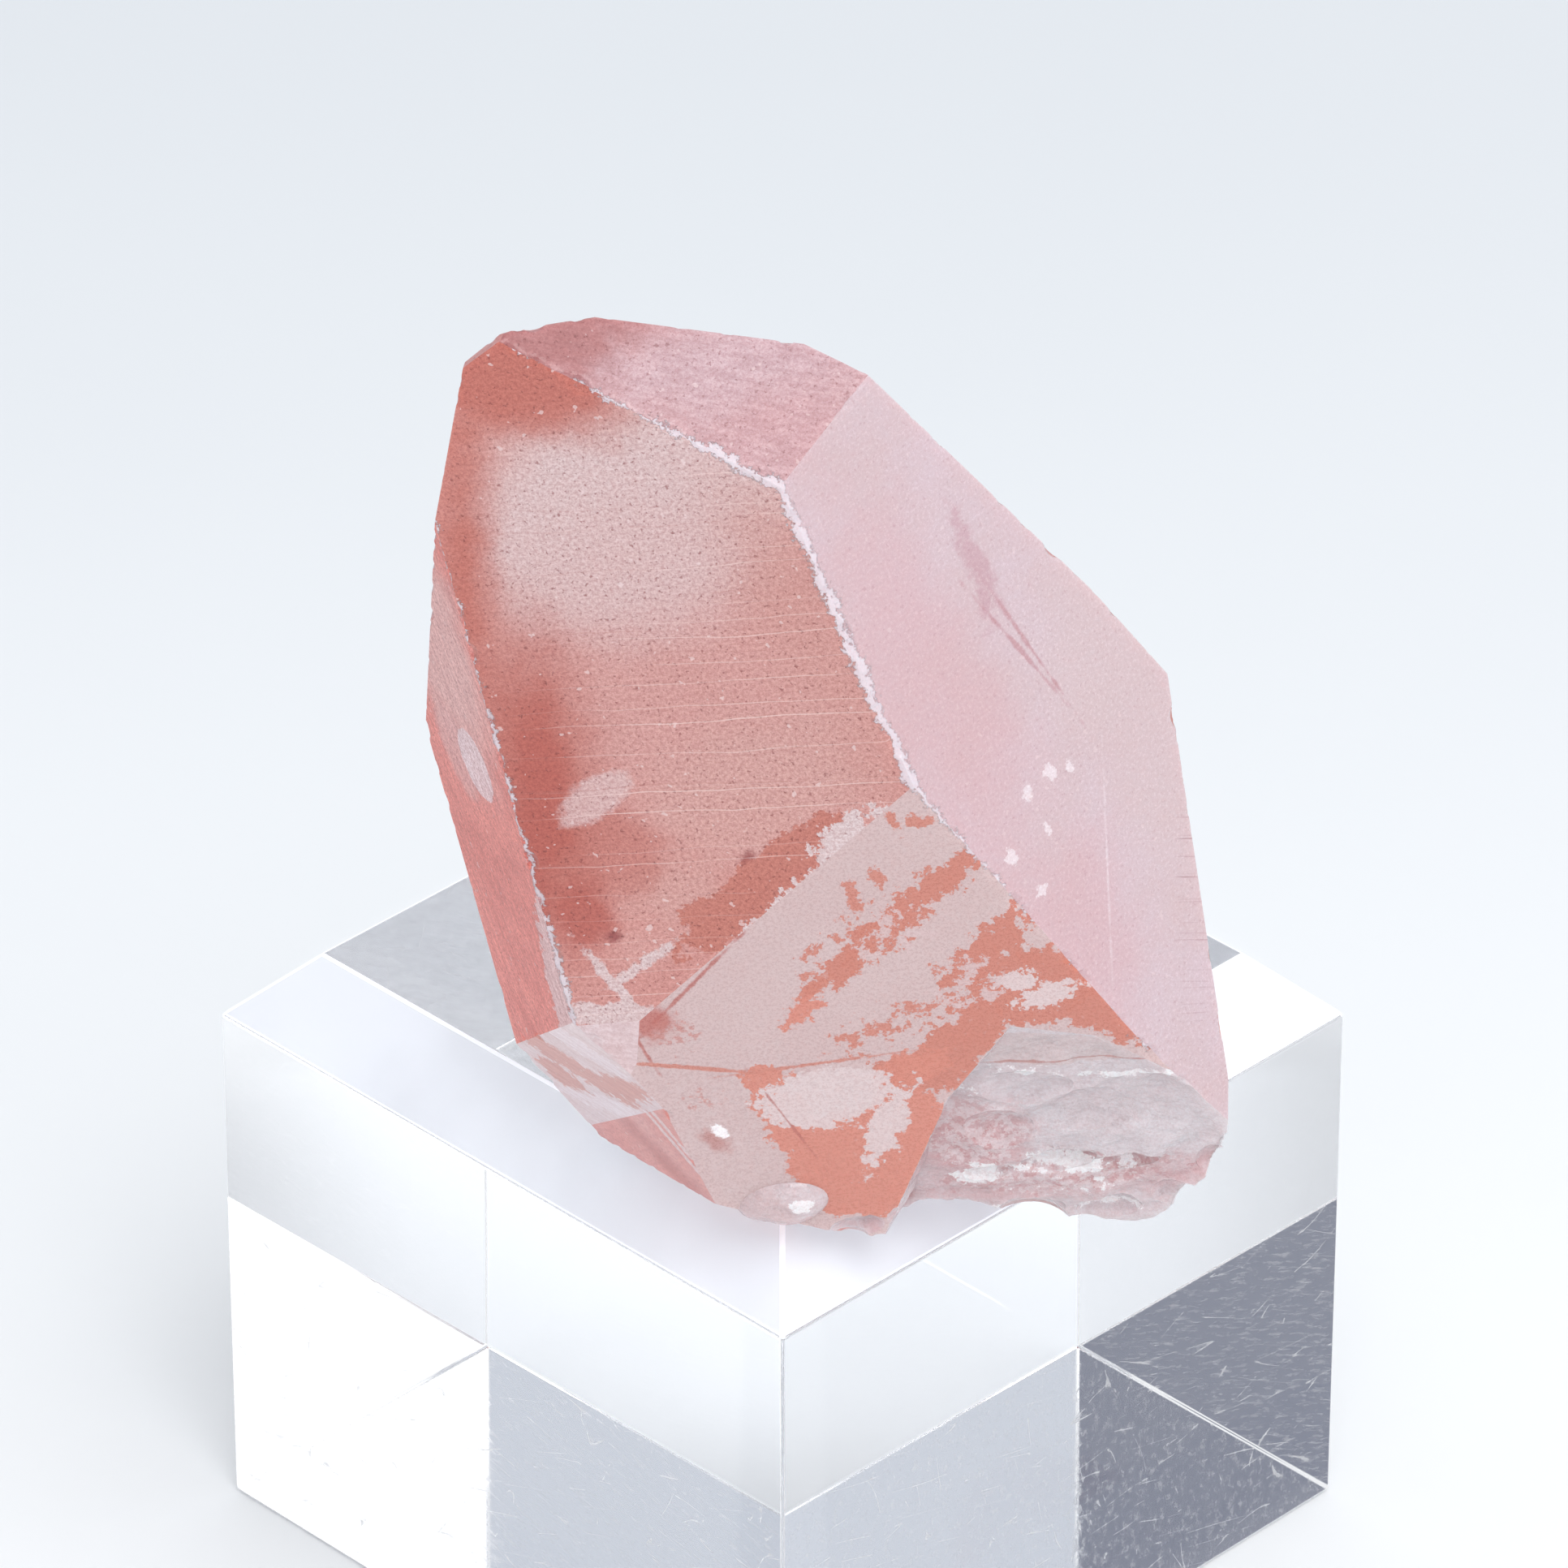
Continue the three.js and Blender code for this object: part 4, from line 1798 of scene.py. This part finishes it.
        grain_depth=0.26, pits=0.12, flecks=0.12, roughness=0.28, coat=0.25, subsurface=0.3,
    ),
    QuartzFinish(
        Surface.FOOT, FOOT_SLOPE, (0.7, 0.58, 0.59), (0.66, 0.5, 0.5),
        stains=(
            Stain(
                (0.58, 0.24, 0.19),
                (
                    Patch(-2.6, -5.0, 3.4, 0.9, -28), Patch(1.2, -5.2, 2.0, 0.7, 20),
                    Patch(-4.8, -7.2, 1.2, 1.0),
                ),
                ragged=0.8, soft=0.1, strength=0.85, grain=0.7, crumble=0.5,
            ),
            Stain(
                MILK, (Patch(0.2, -1.6, 3.2, 0.9, -30), Patch(-1.5, -8.2, 4.0, 0.5, 12)), ragged=0.6,
                soft=0.12, strength=0.6, grain=0.7, crumble=0.4,
            ),
        ),
        streaks=0.5, streak_turn=30.0, roughness=0.42, pits=0.2, grain_depth=0.3,
    ),
    QuartzFinish(
        Surface.RED_FOOT, FOOT_TRIANGLE, (0.66, 0.24, 0.205), (0.68, 0.32, 0.3),
        stains=(
            Stain(BRICK, (Patch(2.4, -15.2, 5, 1.2, -40),), ragged=0.5, soft=1.5, strength=0.6, grain=2.0),
            Stain(
                (0.7, 0.56, 0.56), (Patch(4.6, -12.6, 4.8, 0.14, -58), Patch(5.4, -12.4, 4.6, 0.16, -60)),
                ragged=0.15, soft=0.1, strength=0.85, grain=0.8, crumble=0.15,
            ),
        ),
        grain_depth=0.5, roughness=0.4, streaks=0.4, streak_turn=-30.0,
    ),
    QuartzFinish(
        Surface.BREAK, SCOOP_WALL, (0.7, 0.585, 0.61), (0.745, 0.67, 0.7),
        stains=(
            Stain(
                (0.67, 0.41, 0.425), (Patch(4.4, -14.8, 2.8, 2.8), Patch(9, -18.7, 8, 0.8, -4)), ragged=1.0,
                soft=2.4, strength=0.85, grain=0.9, crumble=0.3,
            ),
            Stain(
                (0.6, 0.3, 0.3), (Patch(8, -18.0, 9, 2.2, -4), Patch(4.6, -15.2, 3.0, 2.6)), ragged=0.9,
                soft=0.4, strength=0.6, grain=0.6, bias=-1.1,
            ),
            Stain(
                (0.86, 0.8, 0.82), (Patch(4.8, -14.2, 3.4, 3.2), Patch(8, -18.4, 7, 1.8, -5)), ragged=0.9,
                soft=0.1, strength=0.45, grain=0.4, bias=-1.15, crumble=0.3,
            ),
            # The lump's pinker left part: partly its own tone, partly painted shade that makes it look
            # rounded.
            Stain(
                (0.69, 0.52, 0.53), (Patch(-5.2, -15.2, 1.7, 1.5, -10),), ragged=0.4, soft=1.0,
                strength=0.9, grain=0.6, crumble=0.2,
            ),
            # Painted shade along the lump's lower edge.
            Stain(
                (0.66, 0.33, 0.3), (Patch(-3.4, -16.2, 1.5, 0.3, 4),), ragged=0.3, soft=0.4, strength=0.5,
                grain=0.6, crumble=0.2,
            ),
            Stain(
                (0.7, 0.56, 0.565), (Patch(9.5, -8.4, 4.8, 1.3, -12),), ragged=0.2, soft=0.1, strength=0.9,
                grain=1.2,
            ),
            Stain(
                (0.5, 0.2, 0.17), (Patch(10.5, -9.6, 7.0, 0.06, -5),), ragged=0.08, soft=0.1, strength=0.75,
                grain=0.9,
            ),
            # Painted reflections: white flashes of light off cracks inside the break.
            Stain(
                PAINTED_FLASH,
                (
                    Patch(8.6, -16.9, 5.6, 0.9, -6), Patch(9.0, -19.2, 6.5, 0.8, -8),
                    Patch(8.2, -10.2, 3.4, 1.2, -8), Patch(5.3, -11.2, 1.6, 1.2),
                ),
                ragged=1.1, soft=0.08, strength=0.95, grain=0.8, bias=-1.15, crumble=0.3,
            ),
            # Painted highlights: small white flashes on the break, and the highlight on the lump's right
            # side.
            Stain(
                PAINTED_FLASH,
                (
                    Patch(4.2, -17.5, 0.75, 0.32, -6), Patch(7.6, -17.2, 0.65, 0.26, -4),
                    Patch(9.0, -17.6, 0.9, 0.3, -12), Patch(13.1, -11.1, 0.9, 0.14, -2),
                    Patch(5.6, -17.1, 0.45, 0.06, -20), Patch(11.1, -18.1, 0.14, 0.1),
                    Patch(9.6, -18.8, 0.12, 0.1), Patch(4.3, -19.9, 0.35, 0.1, -10),
                    Patch(9.6, -20.9, 0.45, 0.1, -5), Patch(-3.1, -14.8, 0.28, 0.18, -30),
                ),
                ragged=0.3, soft=0.06, strength=0.95, grain=0.5, crumble=0.2,
            ),
            Stain(
                (0.5, 0.2, 0.19), (Patch(0.6, -18.2, 0.35, 0.45),), ragged=0.3, soft=0.3, strength=0.6,
                grain=0.5,
            ),
        ),
        splinters=0.5, grain_depth=0.24, pits=0.1, flecks=0.2, roughness=0.16, coat=0.5, subsurface=0.35,
    ),
    QuartzFinish(Surface.BASE, BACK_PRISM, (0.64, 0.43, 0.43), (0.68, 0.54, 0.56), splinters=0.5, pits=0.3),
)


# ------------------------------------------------------------------ the display block


class BlockSurface(Enum):
    """The kinds of surface on the block. Each is one material slot, in this order."""

    WALL = "walls and top"
    BEVEL = "wide bevels"
    UNDERSIDE = "underside"
    BEVEL_EDGE = "rounded edges of the bevels"

    @property
    def index(self) -> int:
        """The material slot of this kind of surface."""
        return list(BlockSurface).index(self)


@dataclass
class DisplayBlock:
    """The clear block.

    Args:
        bevel: width of the wide bevels, in millimetres.
        corner_radius: radius of all edges, in millimetres.
        largest_rounding: larger faces are flat, smaller ones round an edge. In square millimetres.
        level: faces whose normals rise more steeply are level.
        bevel_rise: the normals of bevels rise more steeply than this.
        edge_rise: the normals of the bevels' rounded edges rise more steeply than this.
        colour: linear colour of the acrylic.
        ior: its index of refraction.
        scratches: turn in degrees and spacing in millimetres of each set of scratches on the underside.
        underside_clearness: how clear the milky patches of the underside are.
        bevel_tint_and_glow: linear colour of the bevels' acrylic and of the painted glow in them.
        bevel_clearness: how clear the bevels are.
        bevel_painted_glow: strength of the painted glow in them.
        edge_clearness: how clear their rounded edges are.
        edge_painted_glow: strength of the painted glow in those.
    """

    bevel: float = 3.5
    corner_radius: float = 0.16
    largest_rounding: float = 20.0
    level: float = 0.95
    bevel_rise: float = 0.3
    edge_rise: float = 0.5
    colour: Colour = (0.995, 0.997, 1.0)
    ior: float = 1.49
    scratches: tuple[tuple[float, float], ...] = ((20.0, 3.0), (-52.0, 4.0), (75.0, 5.0))
    underside_clearness: float = 0.9
    bevel_tint_and_glow: Colour = (0.90, 0.93, 0.99)
    bevel_clearness: float = 0.35
    bevel_painted_glow: float = 0.11
    edge_clearness: float = 0.2
    edge_painted_glow: float = 0.3

    def coords(self, graph: Graph) -> Socket:
        """Millimetres from the middle of the underside."""
        return graph.mapped(graph.own_place(), (0, 0, 0), Euler((0, 0, 0)), (MM, MM, MM))

    def acrylic(self, name: str, transmission: float, colour: Colour) -> Graph:
        """Starts a material of polished acrylic.

        Args:
            name: name of the material.
            transmission: how clear it is. The rest is milky.
            colour: linear colour.

        Returns:
            The graph, with its roughness still to be set.
        """
        graph = Graph(name)
        graph.shader.inputs["Base Color"].default_value = (*colour, 1.0)
        graph.shader.inputs["IOR"].default_value = self.ior
        graph.shader.inputs["Transmission Weight"].default_value = transmission
        return graph

    def walls(self) -> bpy.types.Material:
        """Makes the clear acrylic of the walls and the top, with a little dust.

        Returns:
            The finished material.
        """
        graph = self.acrylic("clear_acrylic", 1.0, self.colour)
        mottling = graph.step(graph.noise(self.coords(graph), scale=3.5, detail=3, roughness=0.7), 0.66, 0.74)
        graph.feed(graph.shader.inputs["Roughness"], graph.math("MULTIPLY", mottling, 0.04))
        return graph.material

    def painted_glow_acrylic(self, name: str, clearness: float, glow: float) -> bpy.types.Material:
        """Makes acrylic with a painted glow, emission that stands in for light in the bevels.

        Args:
            name: name of the material.
            clearness: how clear it is. The rest is milky.
            glow: strength of the painted glow.

        Returns:
            The finished material.
        """
        graph = self.acrylic(name, clearness, self.bevel_tint_and_glow)
        graph.shader.inputs["Emission Color"].default_value = (*self.bevel_tint_and_glow, 1.0)
        # Painted glow, stronger in soft streaks; the same noise also varies the roughness.
        haze_and_glow = graph.noise(self.coords(graph), scale=0.12, detail=2, roughness=0.5)
        glow_strength = graph.math("MULTIPLY_ADD", graph.step(haze_and_glow, 0.35, 0.65), glow / 2, glow)
        graph.feed(graph.shader.inputs["Emission Strength"], glow_strength)
        graph.feed(graph.shader.inputs["Roughness"], graph.math("MULTIPLY_ADD", haze_and_glow, 0.2, 0.02))
        return graph.material

    def scratched(self, graph: Graph, coords: Socket, rough: Socket) -> Socket:
        """Adds long fine scratches to a roughness.

        Args:
            graph: the material's graph.
            coords: the block's coordinates.
            rough: the roughness so far.

        Returns:
            The new roughness.
        """
        for turn, spacing in self.scratches:
            line = graph.noise(graph.stretched(coords, (0.03, 1.0 / spacing, 1.0), turn), 1.0, 2, 0.6)
            ridge = graph.math("ABSOLUTE", graph.math("SUBTRACT", line, 0.5))
            groove = graph.math("SUBTRACT", 1.0, graph.step(ridge, 0.0, 0.006))
            gaps = graph.noise(graph.stretched(coords, (0.2, 1, 1), turn), 1.0, 3, 0.6)
            broken = graph.math("MULTIPLY", groove, graph.step(gaps, 0.5, 0.6))
            rough = graph.math("MULTIPLY_ADD", broken, 0.35, rough)
        return rough

    def underside(self) -> bpy.types.Material:
        """Makes the acrylic of the underside, scuffed in patches and scratched.

        Returns:
            The finished material.
        """
        graph = self.acrylic("scuffed_acrylic", self.underside_clearness, self.colour)
        coords = self.coords(graph)
        scuffs = graph.noise(graph.stretched(coords, (0.7, 2.2, 1.0), 25), 1.0, 9, 0.8)
        milky = graph.step(scuffs, 0.4, 0.68)
        clearness = graph.math("MULTIPLY_ADD", milky, self.underside_clearness - 1.0, 1.0)
        graph.feed(graph.shader.inputs["Transmission Weight"], clearness)
        rough = graph.math("MULTIPLY_ADD", graph.step(scuffs, 0.42, 0.7), 0.26, 0.015)
        rough = self.scratched(graph, coords, rough)
        specks = graph.step(graph.noise(coords, scale=2.6, detail=3, roughness=0.8), 0.68, 0.72)
        rough = graph.math("MULTIPLY_ADD", specks, 0.4, rough, clamp=True)
        graph.feed(graph.shader.inputs["Roughness"], rough)
        return graph.material

    def materials(self) -> dict[BlockSurface, bpy.types.Material]:
        """Makes all the block's materials.

        Returns:
            The material of each kind of surface.
        """
        # The bevels and their rounded edges carry a painted glow, emission that stands in for light.
        return {
            BlockSurface.WALL: self.walls(),
            BlockSurface.BEVEL: self.painted_glow_acrylic("bevel_acrylic_painted_glow", self.bevel_clearness, self.bevel_painted_glow),
            BlockSurface.UNDERSIDE: self.underside(),
            BlockSurface.BEVEL_EDGE: self.painted_glow_acrylic(
                "edge_acrylic_painted_glow", self.edge_clearness, self.edge_painted_glow
            ),
        }

    def surface_of(self, face: bmesh.types.BMFace) -> BlockSurface:
        """Tells what kind of surface a face is.

        Args:
            face: the face, smooth where it rounds an edge.

        Returns:
            The kind of surface.
        """
        rise = face.normal.z
        if rise < -self.level:
            return BlockSurface.UNDERSIDE
        if face.smooth:
            return BlockSurface.BEVEL_EDGE if self.edge_rise < rise < self.level else BlockSurface.WALL
        return BlockSurface.BEVEL if self.bevel_rise < rise < self.level else BlockSurface.WALL

    def bevelled(
        self, bm: bmesh.types.BMesh, edges: Sequence[bmesh.types.BMEdge], width: float, steps: int
    ) -> None:
        """Bevels some edges.

        Args:
            bm: the block.
            edges: the edges.
            width: width of the bevel, in millimetres.
            steps: number of faces across it.
        """
        bmesh.ops.bevel(
            bm,
            geom=list(edges),
            offset=width * MM,
            offset_type="OFFSET",
            segments=steps,
            profile=0.5,
            affect="EDGES",
            material=-1,
        )

    def build(self) -> bpy.types.Object:
        """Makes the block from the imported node's box.

        Returns:
            The finished block.
        """
        low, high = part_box("display_block")
        place = Matrix.Translation((low + high) / 2) @ Matrix.Diagonal((*(high - low), 1.0))
        bm = bmesh.new()
        bmesh.ops.create_cube(bm, size=1.0, matrix=place)
        top = [edge for edge in bm.edges if all(vert.co.z > high.z - TOUCHING for vert in edge.verts)]
        self.bevelled(bm, top, self.bevel, steps=1)
        self.bevelled(bm, bm.edges[:], self.corner_radius, steps=3)
        bmesh.ops.recalc_face_normals(bm, faces=bm.faces)
        for face in bm.faces:
            face.smooth = face.calc_area() < self.largest_rounding * MM**2
            face.material_index = self.surface_of(face).index
        block = new_object("clear_block", mesh_from(bm, "clear_block"))
        made = self.materials()
        for surface in BlockSurface:
            block.data.materials.append(made[surface])
        return block


# ------------------------------------------------------------------ the studio


@dataclass(frozen=True)
class Glow:
    """A bright or dim part of the studio's walls. All angles are in degrees.

    Args:
        heading: its direction, counter-clockwise from the X axis.
        elevation: how high it is above the horizon.
        colour: linear colour.
        core: the angle from its middle at which it is still full.
        rim: the angle from its middle at which it is gone.
    """

    heading: float
    elevation: float
    colour: Colour
    core: float
    rim: float


# Unit directions on the floor, as seen from the camera.
BACKWARD = (-0.707, 0.707, 0.0)
SIDEWAYS = (0.707, 0.707, 0.0)

# Linear colours of the floor, of the painted shade on its far part, and of the painted glow that stands in
# for light let through the block.
SHEET_GREY = (0.90, 0.915, 0.93)
SHEET_WHITE = (0.93, 0.945, 0.955)
FAR_PAINTED_SHADE = (0.80, 0.82, 0.84)
DIM_PAINTED_GLOW = (0.05, 0.055, 0.07)
BRIGHT_PAINTED_GLOW = (0.15, 0.155, 0.175)
PAINTED_STRIP_GLOW = (0.19, 0.20, 0.215)
NO_GLOW = (0.0, 0.0, 0.0)


@dataclass
class Studio:
    """Camera, pale floor and soft lights. Lengths are in metres and angles in degrees.

    Args:
        viewpoint: where the camera stands.
        look_down: how far it looks down.
        heading: its heading, counter-clockwise from the Y axis.
        focal_share: its focal length, as a share of the sensor's width.
        sensor: width of its sensor, in millimetres.
        floor_size: half the width of the floor.
        floor_gap: how far the floor lies below the block.
        bounces: how often light is followed through the clear block.
        aim: where the key light points.
        key_place: where it hangs.
        key_size: its diameter.
        key_watts: its power.
        key_colour: its linear colour.
        sky: linear colour of the pale light from all round.
        glows: the brighter and dimmer parts of it.
    """

    viewpoint: tuple[float, float, float] = (0.3198, -0.3197, 0.3290)
    look_down: float = 32.49
    heading: float = 45.0
    focal_share: float = 14000 / 1932
    sensor: float = 36.0
    floor_size: float = 4.0
    floor_gap: float = 0.2 * MM
    bounces: int = 28
    aim: tuple[float, float, float] = (0.01, -0.01, 0.04)
    key_place: tuple[float, float, float] = (0.30, -0.14, 0.5)
    key_size: float = 0.35
    key_watts: float = 1.3
    key_colour: Colour = (1.0, 0.99, 0.98)
    sky: Colour = (0.865, 0.878, 0.90)
    glows: tuple[Glow, ...] = (
        Glow(135, 32, (0.56, 0.60, 0.68), core=9, rim=20),
        Glow(-135, 32, (0.14, 0.155, 0.22), core=9, rim=18),
        Glow(45, 35, (1.25, 1.27, 1.3), core=14, rim=40),
    )

    def camera(self) -> None:
        """Sets up a long lens that looks down on the block's near corner."""
        data = bpy.data.cameras.new("camera")
        data.sensor_width = self.sensor
        data.lens = self.sensor * self.focal_share
        data.clip_start = 0.01
        camera = bpy.data.objects.new("camera", data)
        camera.location = self.viewpoint
        camera.rotation_euler = (math.radians(90 - self.look_down), 0, math.radians(self.heading))
        bpy.context.scene.collection.objects.link(camera)
        bpy.context.scene.camera = camera

    def sheet_colour(self, graph: Graph, place: Socket, behind: Socket) -> Socket:
        """Works out the floor's colour, with painted shade that darkens it behind the block.

        Args:
            graph: the floor's graph.
            place: the place on the floor.
            behind: how far it is behind the block's middle.

        Returns:
            The colour.
        """
        mottle = graph.noise(place, scale=25, detail=4, roughness=0.5)
        sheet = graph.mix(mottle, SHEET_GREY, SHEET_WHITE)
        # Painted shade: the floor darkens farther behind the block.
        return graph.mix(graph.step(behind, -0.06, 0.16), sheet, graph.tinted(sheet, FAR_PAINTED_SHADE))

    def painted_floor_glow(self, graph: Graph, place: Socket, behind: Socket) -> Socket:
        """Works out the painted glow on the floor that stands in for light the clear block lets through.

        Args:
            graph: the floor's graph.
            place: the place on the floor.
            behind: how far it is behind the block's middle.

        Returns:
            The colour of the painted glow: mottled under the block, and a soft strip behind it.
        """
        away = graph.vector("ABSOLUTE", place).outputs[0]
        side = graph.math("MAXIMUM", graph.axis(away, 0), graph.axis(away, 1))
        under = graph.math("SUBTRACT", 1.0, graph.step(side, 18.5 * MM, 19 * MM))
        # Painted glow under the block, standing in for light let through it, mottled in patches.
        mottling = graph.noise(place, scale=1600, detail=6, roughness=0.75)
        through = graph.mix(graph.step(mottling, 0.3, 0.75), DIM_PAINTED_GLOW, BRIGHT_PAINTED_GLOW)
        # A soft painted strip of light on the floor behind the block.
        across = graph.math("ABSOLUTE", graph.along(place, SIDEWAYS))
        hidden = graph.step(graph.math("ADD", behind, across), 74 * MM, 66 * MM)
        strip = graph.math("MULTIPLY", graph.step(behind, 10 * MM, 24 * MM), hidden)
        strip = graph.math("MULTIPLY", strip, graph.step(across, 27 * MM, 24 * MM))
        return graph.mix(under, graph.mix(strip, NO_GLOW, PAINTED_STRIP_GLOW), through)

    def floor(self) -> None:
        """Lays a wide pale sheet just below the block."""
        bm = bmesh.new()
        below = Matrix.Translation((0, 0, -self.floor_gap))
        bmesh.ops.create_grid(bm, x_segments=1, y_segments=1, size=self.floor_size, matrix=below)
        floor = new_object("floor", mesh_from(bm, "floor"))
        graph = Graph("pale_sheet")
        place = graph.own_place()
        behind = graph.along(place, BACKWARD)
        shader = graph.shader
        graph.feed(shader.inputs["Base Color"], self.sheet_colour(graph, place, behind))
        shader.inputs["Roughness"].default_value = 0.7
        shader.inputs["Specular IOR Level"].default_value = 0.2
        # The floor's emission is painted light: a glow under and behind the block.
        graph.feed(shader.inputs["Emission Color"], self.painted_floor_glow(graph, place, behind))
        shader.inputs["Emission Strength"].default_value = 1.0
        floor.data.materials.append(graph.material)

    def key_light(self) -> None:
        """Hangs the soft light that faces the crystal."""
        data = bpy.data.lights.new("key", "AREA")
        data.shape = "DISK"
        data.size = self.key_size
        data.energy = self.key_watts
        data.color = self.key_colour
        lamp = bpy.data.objects.new("key", data)
        lamp.location = self.key_place
        towards = Vector(self.aim) - Vector(self.key_place)
        lamp.rotation_euler = towards.to_track_quat("-Z", "Y").to_euler()
        bpy.context.scene.collection.objects.link(lamp)

    def world(self) -> None:
        """Lights the scene from all round, more from some sides than from others."""
        world = bpy.data.worlds.new("studio")
        world.use_nodes = True
        graph = Graph.over(world.node_tree)
        towards = graph.node("ShaderNodeTexCoord").outputs["Generated"]
        colour: object = self.sky
        for glow in self.glows:
            turn, rise = math.radians(glow.heading), math.radians(glow.elevation)
            aim = (math.cos(turn) * math.cos(rise), math.sin(turn) * math.cos(rise), math.sin(rise))
            rim, core = math.cos(math.radians(glow.rim)), math.cos(math.radians(glow.core))
            share = graph.step(graph.along(towards, aim), rim, core)
            colour = graph.mix(share, colour, glow.colour)
        back = graph.node("ShaderNodeBackground")
        graph.feed(back.inputs[0], colour)
        output = graph.node("ShaderNodeOutputWorld")
        graph.tree.links.new(back.outputs[0], output.inputs["Surface"])
        bpy.context.scene.world = world

    def build(self) -> None:
        """Sets the whole studio up."""
        self.camera()
        self.floor()
        self.key_light()
        self.world()
        scene = bpy.context.scene
        scene.view_settings.view_transform = "Standard"
        scene.cycles.max_bounces = self.bounces
        scene.cycles.glossy_bounces = self.bounces
        scene.cycles.transmission_bounces = self.bounces


# ------------------------------------------------------------------ putting it together


def finish_crystal() -> bpy.types.Object:
    """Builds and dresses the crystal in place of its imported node.

    Returns:
        The finished crystal.
    """
    order = {finish.surface: finish for finish in FINISHES}
    materials = [order[surface].build() for surface in Surface]
    crystal = CrystalMesh(materials=materials).build()
    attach(crystal, "root")
    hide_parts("crystal")
    LOG.info("%s: %d vertices", crystal.name, len(crystal.data.vertices))
    return crystal


def finish_block() -> bpy.types.Object:
    """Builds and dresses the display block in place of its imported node.

    Returns:
        The finished block.
    """
    block = DisplayBlock().build()
    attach(block, "root")
    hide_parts("display_block")
    LOG.info("%s: %d vertices", block.name, len(block.data.vertices))
    return block


def main() -> None:
    """Builds everything in order."""
    logging.basicConfig(level=logging.INFO, format="%(name)s: %(message)s")
    Studio().build()
    finish_crystal()
    finish_block()


if __name__ == "__main__":
    main()
